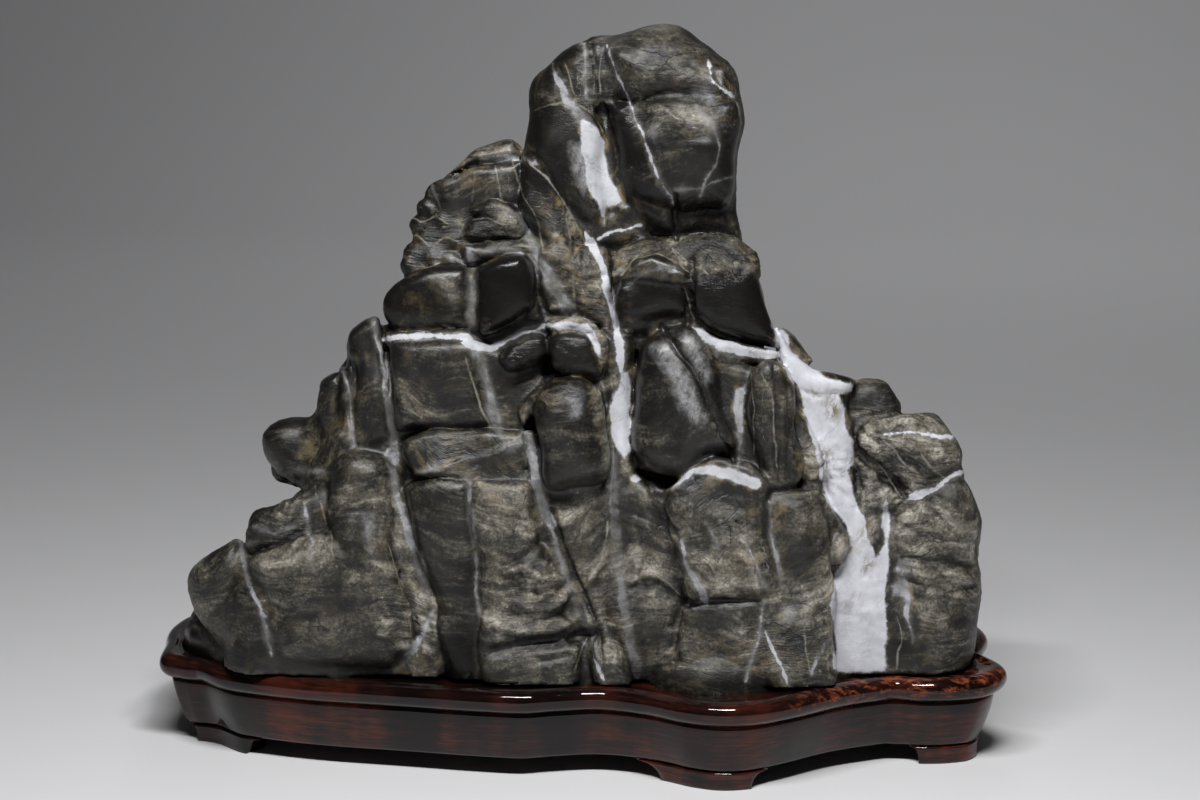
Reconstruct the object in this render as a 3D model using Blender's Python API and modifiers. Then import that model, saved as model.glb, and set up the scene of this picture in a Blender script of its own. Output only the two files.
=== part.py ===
"""A scholar's rock: a peak of rounded limestone blocks with white calcite veins, on a rosewood stand.

Metres, +Z up, the front towards -Y. The origin is at the middle of the stand, on the surface it
stands on. The constants are in millimetres.
"""

import math

import bmesh
import bpy
from mathutils import Vector

MM = 0.001

# The rock is drawn as a front elevation seen from EYE_Y in front of it, at EYE_X and EYE_Z. A point
# drawn at (x, z) and standing f in front of the plane Y = 0 lies on the line from the eye to (x, 0, z).
EYE_X, EYE_Y, EYE_Z = 8, -1124, 322

# The stand, from the surface upwards.
FOOT_TOP = 6.2
LIP_MIDDLE = 28.7
LIP_TOP = 33
SEAT_FLOOR = 25
FIT = 0.4  # the clearance between the rock and its seat
REST_GAP = 0.3  # between surfaces that touch

# The section of the stand, as steps (inwards, away from the middle of the lip).
LIP_UP = ((0.8, 2.5), (1.6, 1.5), (2.2, 0.3))
LIP_DOWN = ((0.9, 2.6), (1.5, 1.3), (1.4, 0.3))
WALL_DOWN = ((1.6, 7), (4.1, 11))

# The rock's foot, which starts this far below the seat's floor and is cut off there.
BASE_SUNK = 4
BASE_SECTION = ((0, 14), (3, 4), (9, 6))

# Plan of the lip's outer edge, anticlockwise from the left end of the front. NOTCHES are its corners.
LIP_PLAN = (
    (-150, -12), (-143, -19), (-136, -22), (-123, -36), (-96, -48), (-61, -57), (-37, -63), (-19, -66),
    (-6, -63), (8, -61), (22, -67), (35, -77), (48, -82), (62, -80), (76, -71), (94, -56), (111, -47),
    (120, -50), (133, -49), (145, -43), (152, -29), (148, -14), (143, -4), (148, 8), (151, 22),
    (147, 38), (134, 51), (112, 58), (98, 70), (72, 79), (44, 82), (16, 78), (-6, 70), (-30, 79),
    (-62, 82), (-92, 76), (-112, 64), (-132, 62), (-146, 50), (-152, 30), (-151, 8),
)
NOTCHES = ((-136, -22), (111, -47), (143, -4), (112, 58), (-6, 70), (-112, 64))
LIP_STEPS = 2

# Plan of the seat, which is the rock's foot.
SEAT_PLAN = (
    (-141, -4), (-123, -29), (-107, -33), (-85, -47), (-63, -37), (-44, -38), (-26, -46), (-4, -53),
    (10, -50), (20, -44), (28, -56), (42, -64), (57, -62), (74, -56), (90, -46), (109, -37), (127, -36),
    (138, -28), (142, -8), (143, 12), (138, 30), (122, 41), (98, 47), (84, 55), (60, 58), (28, 61),
    (4, 56), (-18, 57), (-50, 60), (-70, 55), (-92, 56), (-110, 50), (-124, 42), (-139, 31), (-144, 14),
)
SEAT_STEPS = 2

# The feet: the name, and where its two ends lie on the wall's lower edge.
FEET = (
    ("foot_front", (18, -59), (67, -67)),
    ("foot_left", (-139, -8), (-114, -34)),
    ("foot_right", (116, -41), (143, -26)),
    ("foot_back_right", (142, 28), (110, 52)),
    ("foot_back_left", (-112, 56), (-142, 32)),
)
FOOT_OUTER = 0.6  # how far inside the wall's lower edge a foot's outer side lies
FOOT_REACH = 12  # and its inner side
FOOT_SECTION = ((0, 1.0), (-0.8, 0.9), (-2.4, 0.8), (-6.2, 0.74))  # (below its top, share of its length)
FOOT_SPANS = 5

# The blocks, as (name, front, back, lean, edge, outline). Front and back are distances in front of the
# plane Y = 0. The lean tips the front face, as millimetres forward for each millimetre right and up.
# The edge is the radius to which the block is worn.
CORE = (
    ("core_low", 38, -50, (0, -0.10), 14,
     ((-132, 53), (-118, 66), (-82, 79), (8, 87), (98, 94), (127, 88), (138, 72), (140, 22), (-130, 22))),
    ("core_middle", 32, -46, (0, -0.15), 12,
     ((-89, 116), (-63, 143), (8, 148), (69, 141), (108, 116), (123, 87), (132, 60), (-118, 60))),
    ("core_high", 27, -38, (0, -0.15), 12,
     ((-63, 160), (-49, 173), (-17, 190), (15, 193), (59, 173), (67, 145), (76, 112), (-83, 112),
      (-67, 148))),
    ("core_peak", 14, -30, (0, -0.10), 12,
     ((-11, 234), (8, 247), (40, 247), (50, 234), (52, 195), (58, 173), (-13, 173), (-15, 213))),
    ("core_shoulder", 14, -24, (0, -0.20), 8,
     ((-44, 201), (-27, 212), (-17, 207), (-12, 173), (-58, 169), (-50, 186))),
)
SUMMIT = (
    ("head", 20, -12, (0.03, -0.14), 11,
     ((-20, 201), (-20, 216), (-18, 230), (-15, 238), (-6, 246), (4, 253), (22, 256), (34, 256), (44, 250),
      (53, 243), (58, 236), (59, 226), (57, 205), (58, 181), (20, 181), (-8, 184))),
    ("dome", 32, -10, (-0.06, -0.18), 8,
     ((9, 252), (17, 236), (28, 205), (34, 192), (54, 190), (57, 205), (58, 226), (57, 236), (50, 245),
      (40, 252), (30, 256), (18, 256))),
    ("left_jaw", 28, -8, (0, 0.05), 6, ((16, 208), (26, 206), (35, 196), (36, 181), (27, 182), (18, 190))),
    ("right_jaw", 27, -6, (-0.10, 0.05), 7, ((34, 206), (55, 205), (56, 196), (57, 182), (36, 181))),
    ("left_wall", 26, -7, (0.14, -0.12), 8,
     ((-16, 231), (-13, 239), (-7, 247), (2, 252), (4, 240), (9, 224), (13, 205), (12, 190), (4, 184),
      (-6, 191), (-18, 213))),
    ("skirt", 26, -12, (0, -0.10), 4,
     ((-20, 212), (-12, 208), (-4, 195), (-2, 182), (-9, 173), (-19, 190))),
)
SHOULDER = (
    ("cap", 15, -3, (0.10, -0.35), 5,
     ((-48, 203), (-38, 213), (-26, 217), (-18, 211), (-22, 208), (-38, 207))),
    ("face", 21, -7, (0.05, -0.10), 4, ((-48, 202), (-38, 207), (-20, 209), (-19, 195), (-46, 193))),
    ("folds", 26, -8, (0, -0.10), 4, ((-46, 192), (-19, 193), (-14, 178), (-42, 173), (-50, 182))),
    ("knob_a", 22, -6, (0, -0.10), 4, ((-58, 191), (-51, 197), (-46, 190), (-49, 182), (-57, 184))),
    ("knob_b", 25, -10, (0, -0.10), 4,
     ((-64, 175), (-60, 183), (-50, 182), (-46, 172), (-54, 167), (-63, 168))),
)
MIDDLE = (
    ("left_cube", 35, -6, (0.05, -0.12), 6, ((-69, 158), (-60, 168), (-38, 172), (-37, 148), (-67, 147))),
    ("dark_cube", 39, -6, (0, -0.08), 5, ((-36, 171), (-22, 177), (-14, 170), (-15, 155), (-34, 147))),
    ("ochre_column", 33, -6, (0, -0.15), 4, ((-15, 177), (10, 180), (14, 160), (11, 149), (-11, 154))),
    ("left_ledge", 43, -6, (0, -0.05), 5, ((14, 172), (21, 177), (34, 175), (40, 169), (41, 153), (14, 152))),
    ("right_ledge", 46, -8, (-0.10, -0.05), 7,
     ((40, 168), (43, 178), (58, 180), (66, 172), (69, 155), (72, 141), (58, 141), (41, 154))),
    ("left_slab", 41, -6, (0.03, -0.05), 4, ((-67, 144), (-38, 144), (-31, 113), (-63, 111))),
    ("pillar_knob", 30, -6, (0, -0.10), 4, ((-81, 143), (-78, 151), (-70, 153), (-70, 143))),
    ("pillar_a", 34, -6, (0.10, -0.08), 4, ((-80, 141), (-70, 142), (-65, 109), (-75, 106))),
    ("pillar_b", 30, -11, (0.10, -0.08), 4, ((-86, 134), (-80, 140), (-75, 106), (-82, 105))),
    ("pillar_c", 26, -7, (0.15, -0.08), 4, ((-93, 131), (-86, 134), (-82, 105), (-92, 103))),
    ("left_lump", 21, -4, (0.10, -0.10), 9,
     ((-113, 107), (-109, 116), (-99, 119), (-91, 114), (-90, 97), (-99, 90), (-109, 95))),
    ("left_eye", 45, 4, (0, 0), 4, ((-29, 140), (-20, 147), (-11, 147), (-11, 138), (-24, 135))),
    ("right_eye", 46, 4, (0, 0), 5, ((-10, 145), (-3, 149), (6, 144), (9, 132), (-9, 134))),
    ("wedge", 39, -6, (0, -0.10), 3, ((-36, 141), (-11, 136), (-18, 115), (-28, 112))),
    ("thumb", 54, 4, (-0.05, -0.08), 8,
     ((-15, 120), (-10, 130), (0, 132), (8, 127), (11, 105), (7, 89), (-9, 88), (-14, 95))),
    ("dark_slab", 51, -1, (0, -0.10), 7,
     ((19, 143), (27, 150), (45, 148), (51, 127), (57, 104), (42, 98), (26, 97), (19, 105))),
    ("slab_rim", 44, -1, (0, -0.10), 4, ((44, 148), (60, 139), (59, 100), (52, 102))),
    ("right_pillar", 55, 4, (0, -0.05), 6, ((61, 132), (67, 138), (76, 136), (80, 97), (70, 89), (63, 104))),
    ("pillar_side", 44, -1, (0, -0.10), 4, ((76, 123), (82, 119), (88, 106), (87, 91), (79, 90))),
)
LOW = (
    ("left_toe", 32, -6, (0.25, -0.05), 9,
     ((-141, 54), (-136, 64), (-121, 72), (-111, 32), (-118, 24), (-133, 34))),
    ("left_hump", 38, -10, (0.12, -0.20), 6,
     ((-120, 76), (-113, 84), (-91, 93), (-89, 80), (-104, 68), (-119, 67))),
    ("left_head", 46, -16, (0, -0.10), 9,
     ((-90, 96), (-84, 105), (-70, 105), (-64, 72), (-78, 68), (-91, 85))),
    ("left_belly", 49, -21, (0.08, -0.03), 10,
     ((-119, 66), (-87, 77), (-64, 70), (-56, 36), (-62, 26), (-104, 22), (-114, 45))),
    ("vein_rib", 45, -6, (0, -0.05), 4, ((-69, 104), (-63, 97), (-45, 22), (-59, 21), (-62, 64))),
    ("shelf", 50, -6, (0, -0.80), 3, ((-64, 102), (-60, 110), (-19, 113), (-17, 96), (-58, 95))),
    ("left_panel", 50, -6, (0, -0.03), 6, ((-63, 93), (-39, 95), (-34, 60), (-34, 22), (-47, 22))),
    ("right_panel", 54, -6, (0.03, -0.06), 6, ((-40, 95), (-17, 95), (-9, 64), (3, 28), (0, 20), (-34, 20))),
    ("middle_column", 50, -6, (0, -0.06), 5, ((-12, 88), (10, 89), (9, 56), (22, 22), (6, 20), (-2, 50))),
    ("middle_strip", 48, -6, (0, -0.05), 4, ((11, 95), (23, 93), (33, 64), (34, 50), (22, 22), (14, 60))),
    ("upper_boulder", 57, -1, (0, -0.10), 8,
     ((32, 88), (40, 94), (60, 93), (71, 86), (73, 58), (64, 49), (42, 51), (36, 66))),
    ("lower_boulder", 63, -1, (0, -0.02), 8, ((38, 49), (67, 50), (66, 26), (56, 18), (44, 18), (37, 28))),
    ("right_front", 55, -1, (0, -0.08), 7,
     ((68, 90), (84, 92), (92, 76), (94, 22), (70, 20), (66, 36), (73, 60))),
    ("crest", 8, -28, (0, -0.10), 3, ((72, 149), (75, 148), (86, 136), (80, 131), (72, 138))),
    ("crown", 30, -4, (-0.10, -0.20), 5, ((93, 120), (97, 129), (109, 131), (118, 119), (105, 109))),
    ("nose", 38, -3, (-0.15, -0.15), 8,
     ((99, 110), (109, 117), (127, 119), (138, 109), (137, 97), (120, 90), (107, 96))),
    ("nose_root", 41, -6, (0, -0.10), 4, ((99, 104), (116, 87), (106, 78), (99, 88))),
    ("right_belly", 40, -9, (-0.20, -0.05), 10,
     ((113, 88), (122, 90), (138, 97), (144, 88), (147, 62), (143, 24), (122, 20), (116, 50))),
    ("thin_column", 40, -6, (0, -0.05), 3, ((110, 72), (119, 62), (122, 22), (113, 21))),
)
BACK = (
    ("back_peak", -8, -42, (0, 0), 10, ((-12, 236), (8, 250), (38, 250), (52, 236), (54, 206), (-12, 202))),
    ("back_neck", -4, -38, (0, 0), 8, ((-14, 204), (54, 206), (56, 176), (-14, 174))),
    ("back_shoulder", -2, -35, (0, 0), 8, ((-46, 203), (-24, 212), (-14, 200), (-14, 172), (-50, 168))),
    ("back_high_left", -4, -50, (0, 0), 9,
     ((-66, 164), (-40, 171), (-12, 172), (-14, 140), (-45, 134), (-68, 142))),
    ("back_high_right", -6, -54, (0, 0), 9,
     ((-10, 174), (30, 172), (62, 170), (67, 142), (25, 134), (-12, 140))),
    ("back_left", -5, -50, (0, 0), 8, ((-92, 128), (-70, 141), (-42, 134), (-40, 100), (-70, 92), (-95, 98))),
    ("back_middle", -20, -61, (0, 0), 9, ((-40, 135), (-12, 140), (22, 136), (22, 98), (-10, 90), (-40, 98))),
    ("back_right", -6, -57, (0, 0), 9, ((24, 136), (64, 140), (82, 127), (86, 98), (50, 88), (24, 96))),
    ("back_crown", -3, -42, (0, 0), 6, ((84, 130), (108, 130), (115, 116), (112, 98), (88, 98))),
    ("back_nose", -1, -39, (0, 0), 7, ((112, 116), (128, 118), (136, 108), (134, 94), (114, 92))),
    ("back_lump", -2, -34, (0, 0), 7, ((-111, 108), (-98, 117), (-90, 102), (-96, 90), (-109, 94))),
    ("back_toe", -4, -42, (0, 0), 9,
     ((-138, 56), (-124, 68), (-112, 50), (-112, 22), (-130, 22), (-138, 34))),
    ("back_hump", -8, -52, (0, 0), 8, ((-119, 76), (-100, 89), (-78, 92), (-72, 60), (-112, 52))),
    ("back_low_left", -10, -57, (0, 0), 9, ((-112, 54), (-72, 60), (-64, 22), (-112, 22))),
    ("back_rib", -20, -62, (0, 0), 8, ((-76, 93), (-42, 98), (-32, 60), (-40, 22), (-64, 22), (-70, 60))),
    ("back_low_middle", -20, -58, (0, 0), 8, ((-40, 97), (-8, 90), (10, 60), (4, 22), (-38, 22), (-30, 60))),
    ("back_column", -20, -63, (0, 0), 9,
     ((-6, 90), (22, 98), (50, 88), (54, 50), (32, 22), (6, 22), (12, 60))),
    ("back_boulder", -20, -60, (0, 0), 9, ((52, 87), (88, 96), (98, 60), (92, 22), (34, 22), (56, 50))),
    ("back_belly", -7, -49, (0, 0), 9,
     ((90, 97), (112, 92), (138, 90), (144, 60), (138, 22), (94, 22), (100, 60))),
)
BACK_TAPER = 0.88  # the share of its outline to which a block narrows at its back
EDGE_FACETS = 3  # the facets of a block's rounded edge
CROWN_OF_FACE = 0.35  # how far a block's face swells, as a share of its edge
FACE_INSET = 0.8  # where the swell begins, in edge radii
FACING = 0.8  # a face that looks this squarely to the front or the back is one that swells

# The mesh of the rock.
VOXEL = 2.0
SMOOTHINGS = 3
KEPT_SHARE = 0.059


def new_material(name, colour, roughness):
    material = bpy.data.materials.new(name)
    material.use_nodes = True
    shader = material.node_tree.nodes["Principled BSDF"]
    shader.inputs["Base Color"].default_value = (*colour, 1)
    shader.inputs["Roughness"].default_value = roughness
    shader.inputs["Metallic"].default_value = 0
    return material


def new_object(name, bm, collection, material=None):
    """An object named name that holds bm, in metres, with its faces pointing out."""
    bmesh.ops.recalc_face_normals(bm, faces=bm.faces)
    bmesh.ops.scale(bm, vec=(MM, MM, MM), verts=bm.verts)
    mesh = bpy.data.meshes.new(name)
    bm.to_mesh(mesh)
    bm.free()
    piece = bpy.data.objects.new(name, mesh)
    collection.objects.link(piece)
    if material:
        mesh.materials.append(material)
    return piece


def smooth_loop(points, corners, steps):
    """A closed Catmull-Rom curve through the points, with steps spans from each to the next."""
    points = [Vector(p) for p in points]
    corners = [Vector(c) for c in corners]
    loop = []
    for i, here in enumerate(points):
        before, after, beyond = points[i - 1], points[(i + 1) % len(points)], points[(i + 2) % len(points)]
        leave = after - here if here in corners else (after - before) / 2
        arrive = after - here if after in corners else (beyond - here) / 2
        for step in range(steps):
            t = step / steps
            loop.append(
                (2 * t**3 - 3 * t**2 + 1) * here + (t**3 - 2 * t**2 + t) * leave
                + (3 * t**2 - 2 * t**3) * after + (t**3 - t**2) * arrive
            )
    return loop


def offset_loop(loop, inwards):
    """The anticlockwise loop moved inwards along its corner bisectors."""
    moved = []
    for i, here in enumerate(loop):
        along = (loop[(i + 1) % len(loop)] - loop[i - 1]).normalized()
        moved.append(here + inwards * Vector((-along.y, along.x)))
    return moved


def plan_face(bm, loop, height):
    return bm.faces.new([bm.verts.new((p.x, p.y, height)) for p in loop])


def drawn(x, z, forward):
    """The place of a point drawn at (x, z) that stands forward of the plane Y = 0."""
    nearer = 1 + forward / EYE_Y
    return Vector((EYE_X + (x - EYE_X) * nearer, -forward, EYE_Z + (z - EYE_Z) * nearer))


def add_block(bm, front, back, lean, edge, outline):
    """A worn prism: its outline drawn out from the back to a leaning front, edges rounded, faces swollen."""
    block = bmesh.new()
    middle_x = sum(x for x, z in outline) / len(outline)
    middle_z = sum(z for x, z in outline) / len(outline)
    face = block.faces.new([block.verts.new((x, 0, z)) for x, z in outline])
    grown = bmesh.ops.extrude_face_region(block, geom=[face], use_keep_orig=True)["geom"]
    far = {v for v in grown if isinstance(v, bmesh.types.BMVert)}
    for vert in block.verts:
        across, up = vert.co.x - middle_x, vert.co.z - middle_z
        if vert in far:
            vert.co = (middle_x + BACK_TAPER * across, -back, middle_z + BACK_TAPER * up)
        else:
            vert.co.y = -front - lean[0] * across - lean[1] * up
    bmesh.ops.bevel(
        block, geom=block.edges, offset=edge, segments=EDGE_FACETS, profile=0.5, affect="EDGES",
        clamp_overlap=True
    )
    block.faces.ensure_lookup_table()
    wide = [f for f in block.faces if abs(f.normal.y) > FACING and f.calc_area() > edge * edge]
    bmesh.ops.recalc_face_normals(block, faces=block.faces)
    bmesh.ops.inset_individual(block, faces=wide, thickness=FACE_INSET * edge, depth=CROWN_OF_FACE * edge)
    for vert in block.verts:
        vert.co = drawn(vert.co.x, vert.co.z, -vert.co.y)
    mesh = bpy.data.meshes.new("block")
    block.to_mesh(mesh)
    block.free()
    bm.from_mesh(mesh)
    bpy.data.meshes.remove(mesh)


def add_steps(bm, face, steps, direction):
    """Draws face out in steps of (inwards, onwards). The last step ends it, and face itself stays."""
    start = face
    for inwards, onwards in steps:
        grown = bmesh.ops.extrude_face_region(bm, geom=[face])["geom"]
        if face is not start:
            bm.faces.remove(face)
        face = next(g for g in grown if isinstance(g, bmesh.types.BMFace))
        loop = [Vector(v.co.xy) for v in face.verts]
        turned = sum(a.cross(b) for a, b in zip(loop, loop[1:] + loop[:1])) < 0
        moved = offset_loop(loop, -inwards if turned else inwards)
        for vert, place in zip(face.verts, moved):
            vert.co = (place.x, place.y, vert.co.z + direction * onwards)


def add_base(bm):
    """The foot of the rock, which fills the seat and draws in above it."""
    seat = smooth_loop(SEAT_PLAN, (), SEAT_STEPS)
    base = plan_face(bm, offset_loop(seat, FIT), SEAT_FLOOR - BASE_SUNK)
    add_steps(bm, base, BASE_SECTION, 1)


def make_seat_cutter(collection):
    """A thick plate with the rock's seat sunk in it, a fit smaller than the seat of the stand."""
    half, below, pocket_height = 250, -60, 40
    plate = bmesh.new()
    corners = [Vector(p) for p in ((-half, -half), (half, -half), (half, half), (-half, half))]
    bottom = plan_face(plate, corners, below)
    grown = bmesh.ops.extrude_face_region(plate, geom=[bottom], use_keep_orig=True)["geom"]
    top = [g for g in grown if isinstance(g, bmesh.types.BMVert)]
    bmesh.ops.translate(plate, vec=(0, 0, LIP_TOP + FIT - below), verts=top)
    cutter = new_object("seat_cutter", plate, collection)
    pocket = bmesh.new()
    seat = smooth_loop(SEAT_PLAN, (), SEAT_STEPS)
    floor = plan_face(pocket, offset_loop(seat, FIT), SEAT_FLOOR + REST_GAP)
    grown = bmesh.ops.extrude_face_region(pocket, geom=[floor], use_keep_orig=True)["geom"]
    top = [g for g in grown if isinstance(g, bmesh.types.BMVert)]
    bmesh.ops.translate(pocket, vec=(0, 0, pocket_height), verts=top)
    hole = new_object("seat_pocket", pocket, collection)
    add_boolean(cutter, "pocket", hole)
    return cutter


def add_boolean(piece, name, cutter):
    cut = piece.modifiers.new(name, "BOOLEAN")
    cut.operation = "DIFFERENCE"
    cut.solver = "EXACT"
    cut.object = cutter
    cutter.hide_render = True
    cutter.display_type = "WIRE"


def make_rock(collection, cutters):
    bm = bmesh.new()
    for group in (CORE, SUMMIT, SHOULDER, MIDDLE, LOW, BACK):
        for _, front, back, lean, edge, outline in group:
            add_block(bm, front, back, lean, edge, outline)
    add_base(bm)
    stone = new_material("limestone", (0.045, 0.04, 0.033), 0.3)
    rock = new_object("rock", bm, collection, stone)
    weld = rock.modifiers.new("one skin", "REMESH")
    weld.mode = "VOXEL"
    weld.voxel_size = VOXEL * MM
    worn = rock.modifiers.new("worn", "SMOOTH")
    worn.factor = 0.5
    worn.iterations = SMOOTHINGS
    fewer = rock.modifiers.new("fewer", "DECIMATE")
    fewer.ratio = KEPT_SHARE
    add_boolean(rock, "seat", make_seat_cutter(cutters))
    return rock


def make_stand(collection, cutters):
    """The tray: a wall that draws in downwards under a worn lip, with a seat sunk in its top."""
    bm = bmesh.new()
    lip = smooth_loop(LIP_PLAN, NOTCHES, LIP_STEPS)
    middle = plan_face(bm, lip, LIP_MIDDLE)
    add_steps(bm, middle, LIP_DOWN + WALL_DOWN, -1)
    add_steps(bm, middle, LIP_UP, 1)
    bm.faces.remove(middle)
    rosewood = new_material("rosewood", (0.09, 0.022, 0.012), 0.2)
    stand = new_object("stand", bm, collection, rosewood)
    seat = bmesh.new()
    floor = plan_face(seat, smooth_loop(SEAT_PLAN, (), SEAT_STEPS), SEAT_FLOOR)
    grown = bmesh.ops.extrude_face_region(seat, geom=[floor], use_keep_orig=True)["geom"]
    top = [g for g in grown if isinstance(g, bmesh.types.BMVert)]
    bmesh.ops.translate(seat, vec=(0, 0, 2 * (LIP_TOP - SEAT_FLOOR)), verts=top)
    add_boolean(stand, "seat", new_object("seat_recess", seat, cutters))
    return rosewood


def wall_edge():
    """The lower edge of the stand's wall, as a loop."""
    loop = smooth_loop(LIP_PLAN, NOTCHES, LIP_STEPS)
    for inwards, _ in LIP_DOWN + WALL_DOWN:
        loop = offset_loop(loop, inwards)
    return loop


def stretch_of(loop, start, end, share, spans):
    """Points along the loop between those nearest start and end, over the middle share of the way."""
    first = min(range(len(loop)), key=lambda i: (loop[i] - Vector(start)).length)
    last = min(range(len(loop)), key=lambda i: (loop[i] - Vector(end)).length)
    if last < first:
        last += len(loop)
    points = []
    for k in range(spans + 1):
        at = (first + last) / 2 + (last - first) * share * (k / spans - 0.5)
        low = math.floor(at)
        points.append(loop[low % len(loop)].lerp(loop[(low + 1) % len(loop)], at - low))
    return points


def make_foot(name, start, end, collection, rosewood):
    """A foot under the wall's edge, with ends that curve in towards the ground."""
    outer_edge = offset_loop(wall_edge(), FOOT_OUTER)
    inner_edge = offset_loop(wall_edge(), FOOT_REACH)
    bm = bmesh.new()
    rings = []
    for below, share in FOOT_SECTION:
        outer = stretch_of(outer_edge, start, end, share, FOOT_SPANS)
        inner = stretch_of(inner_edge, start, end, share, FOOT_SPANS)
        rings.append([bm.verts.new((p.x, p.y, FOOT_TOP + below)) for p in outer + inner[::-1]])
    bm.faces.new(rings[0])
    bm.faces.new(rings[-1])
    for upper, lower in zip(rings, rings[1:]):
        for i in range(len(upper)):
            bm.faces.new((upper[i - 1], upper[i], lower[i], lower[i - 1]))
    return new_object(name, bm, collection, rosewood)


for old in list(bpy.data.objects):
    bpy.data.objects.remove(old)
parts = bpy.data.collections.new("scholars_rock")
helpers = bpy.data.collections.new("cutters")
bpy.context.scene.collection.children.link(parts)
bpy.context.scene.collection.children.link(helpers)
helpers.hide_render = True

make_rock(parts, helpers)
lacquered = make_stand(parts, helpers)
for foot_name, foot_start, foot_end in FEET:
    make_foot(foot_name, foot_start, foot_end, parts, lacquered)
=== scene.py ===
import bpy
import numpy as np
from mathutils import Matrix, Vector


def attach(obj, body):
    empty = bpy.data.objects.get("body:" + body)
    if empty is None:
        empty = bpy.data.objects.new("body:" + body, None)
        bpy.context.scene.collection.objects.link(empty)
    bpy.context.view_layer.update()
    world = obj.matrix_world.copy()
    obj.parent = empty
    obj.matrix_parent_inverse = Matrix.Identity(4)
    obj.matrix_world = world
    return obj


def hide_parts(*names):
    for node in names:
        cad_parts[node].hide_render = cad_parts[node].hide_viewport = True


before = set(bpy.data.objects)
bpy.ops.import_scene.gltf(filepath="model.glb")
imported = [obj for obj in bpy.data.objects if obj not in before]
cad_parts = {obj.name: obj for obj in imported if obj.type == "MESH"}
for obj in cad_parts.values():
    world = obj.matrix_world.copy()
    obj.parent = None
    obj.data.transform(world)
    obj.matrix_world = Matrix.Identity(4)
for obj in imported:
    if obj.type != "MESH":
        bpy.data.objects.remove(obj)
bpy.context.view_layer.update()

# ==== The rock: its blocks ================================================================
# One natural limestone, split by old cracks into rounded, worn blocks that stand out or lie
# back from each other. It is drawn in millimetres as a front elevation seen from EYE: a block
# that stands f in front of the plane Y = 0 is drawn on the line from the eye to its place.

EYE = np.array([8.0, -1124.0, 322.0])
# A block's width at its back, as a share of that at its front.
BACK_TAPER = 0.88
# A face swells by SWELL of the edge radius from SWELL_REACH of that radius inwards.
SWELL = 0.24
SWELL_REACH = 1.6
# A corner is cut off by CORNER_WEAR of the edge radius, but by no more than CORNER_SHARE of a side.
CORNER_WEAR = 0.3
CORNER_SHARE = 0.3

# Rows of (front, back, lean right, lean up, edge, paleness, outline): front and back are in
# millimetres in front of Y = 0, a lean is millimetres forward for each millimetre across or up,
# and the edge is the radius to which the block is worn.
SUMMIT = (
    (20, -12, 0.03, -0.14, 8, 0.2, ((-20, 201), (-20, 216), (-18.5, 230), (-15, 239), (-9, 244.5),
     (0, 251), (6, 255), (20, 256.5), (31, 258), (37, 257), (44, 251.5), (50, 247), (56, 243.5),
     (59, 237), (58.5, 227), (57, 212), (56.5, 200), (58.5, 184), (58, 180), (20, 181), (-8, 184))),
    (30, -10, 0, -0.12, 13, 0.18, ((7, 252), (9, 240), (12, 231), (20, 229), (29, 227), (38, 225),
     (47, 227), (57, 229), (57, 238), (50, 245), (40, 252), (34, 255), (30, 256), (18, 256))),
    (34.5, -10, 0, -0.4, 7, 0.2, ((20, 230), (30, 233), (42, 233), (52, 231), (55, 222), (54, 215),
     (38, 214), (25, 214))),
    (36.5, -10, 0.04, 0.05, 8, 0.06, ((21, 222), (24, 213), (28, 204), (33, 193), (40, 190), (54, 191),
     (56, 204), (56, 216), (50, 221), (36, 220))),
    (31, -10, 0.1, 0.04, 8, 0.02, ((9, 231), (11, 218), (15, 203), (19, 193), (30, 190), (55, 191),
     (56, 205), (56.5, 222), (56, 231), (38, 229), (24, 231))),
    (26, -6, 0, -0.14, 5, 0.25, ((-6, 243), (2, 250), (10, 253), (14, 245), (17, 236), (13, 229),
     (4, 226), (-3, 232))),
    (28, -8, 0, 0.05, 6, 0.03, ((17, 197), (26, 197), (35, 194), (36, 181), (27, 182), (18, 190))),
    (27, -6, -0.1, 0.05, 7, 0.02, ((34, 198), (56, 198), (57, 182), (36, 181))),
    (26, -7, 0.14, -0.12, 8, 0.1, ((-16, 231), (-13, 239), (-7, 247), (2, 252), (4, 240), (8, 224),
     (10, 205), (11, 190), (4, 184), (-6, 191), (-18, 213))),
    (26, -12, 0, -0.1, 4, 0.06, ((-20, 212), (-12, 208), (-4, 195), (-2, 182), (-9, 173), (-19, 190))),
    (27, -16, 0, 0, 3, 0.3, ((-6, 193), (12, 191), (26, 181), (8, 178), (-5, 179))),
)
SHOULDER = (
    (15, -3, 0.1, -0.1, 6, 0.25, ((-49, 203), (-38, 213), (-26, 217), (-22, 216), (-18, 211), (-22, 208),
     (-38, 207))),
    (21, -7, 0.05, 0, 3, 0.2, ((-48, 202), (-38, 207), (-20, 209), (-19, 195), (-26, 193), (-46, 193))),
    (17, -11, 0, 0, 2, 0.2, ((-53, 193), (-53.5, 197), (-51.5, 200.5), (-48, 203.5), (-44, 204),
     (-44, 192))),
    (25, -6, 0, -0.2, 2, 0.25, ((-39, 192), (-29, 195), (-22, 193), (-19, 190), (-31, 189))),
    (26, -6, 0, -0.1, 3, 0.25, ((-39, 189), (-20, 191), (-18, 185), (-22, 181), (-41, 182))),
    (27, -6, 0, -0.2, 2, 0.22, ((-41, 180), (-20, 180), (-15, 177), (-27, 175), (-41, 173))),
)
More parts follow.
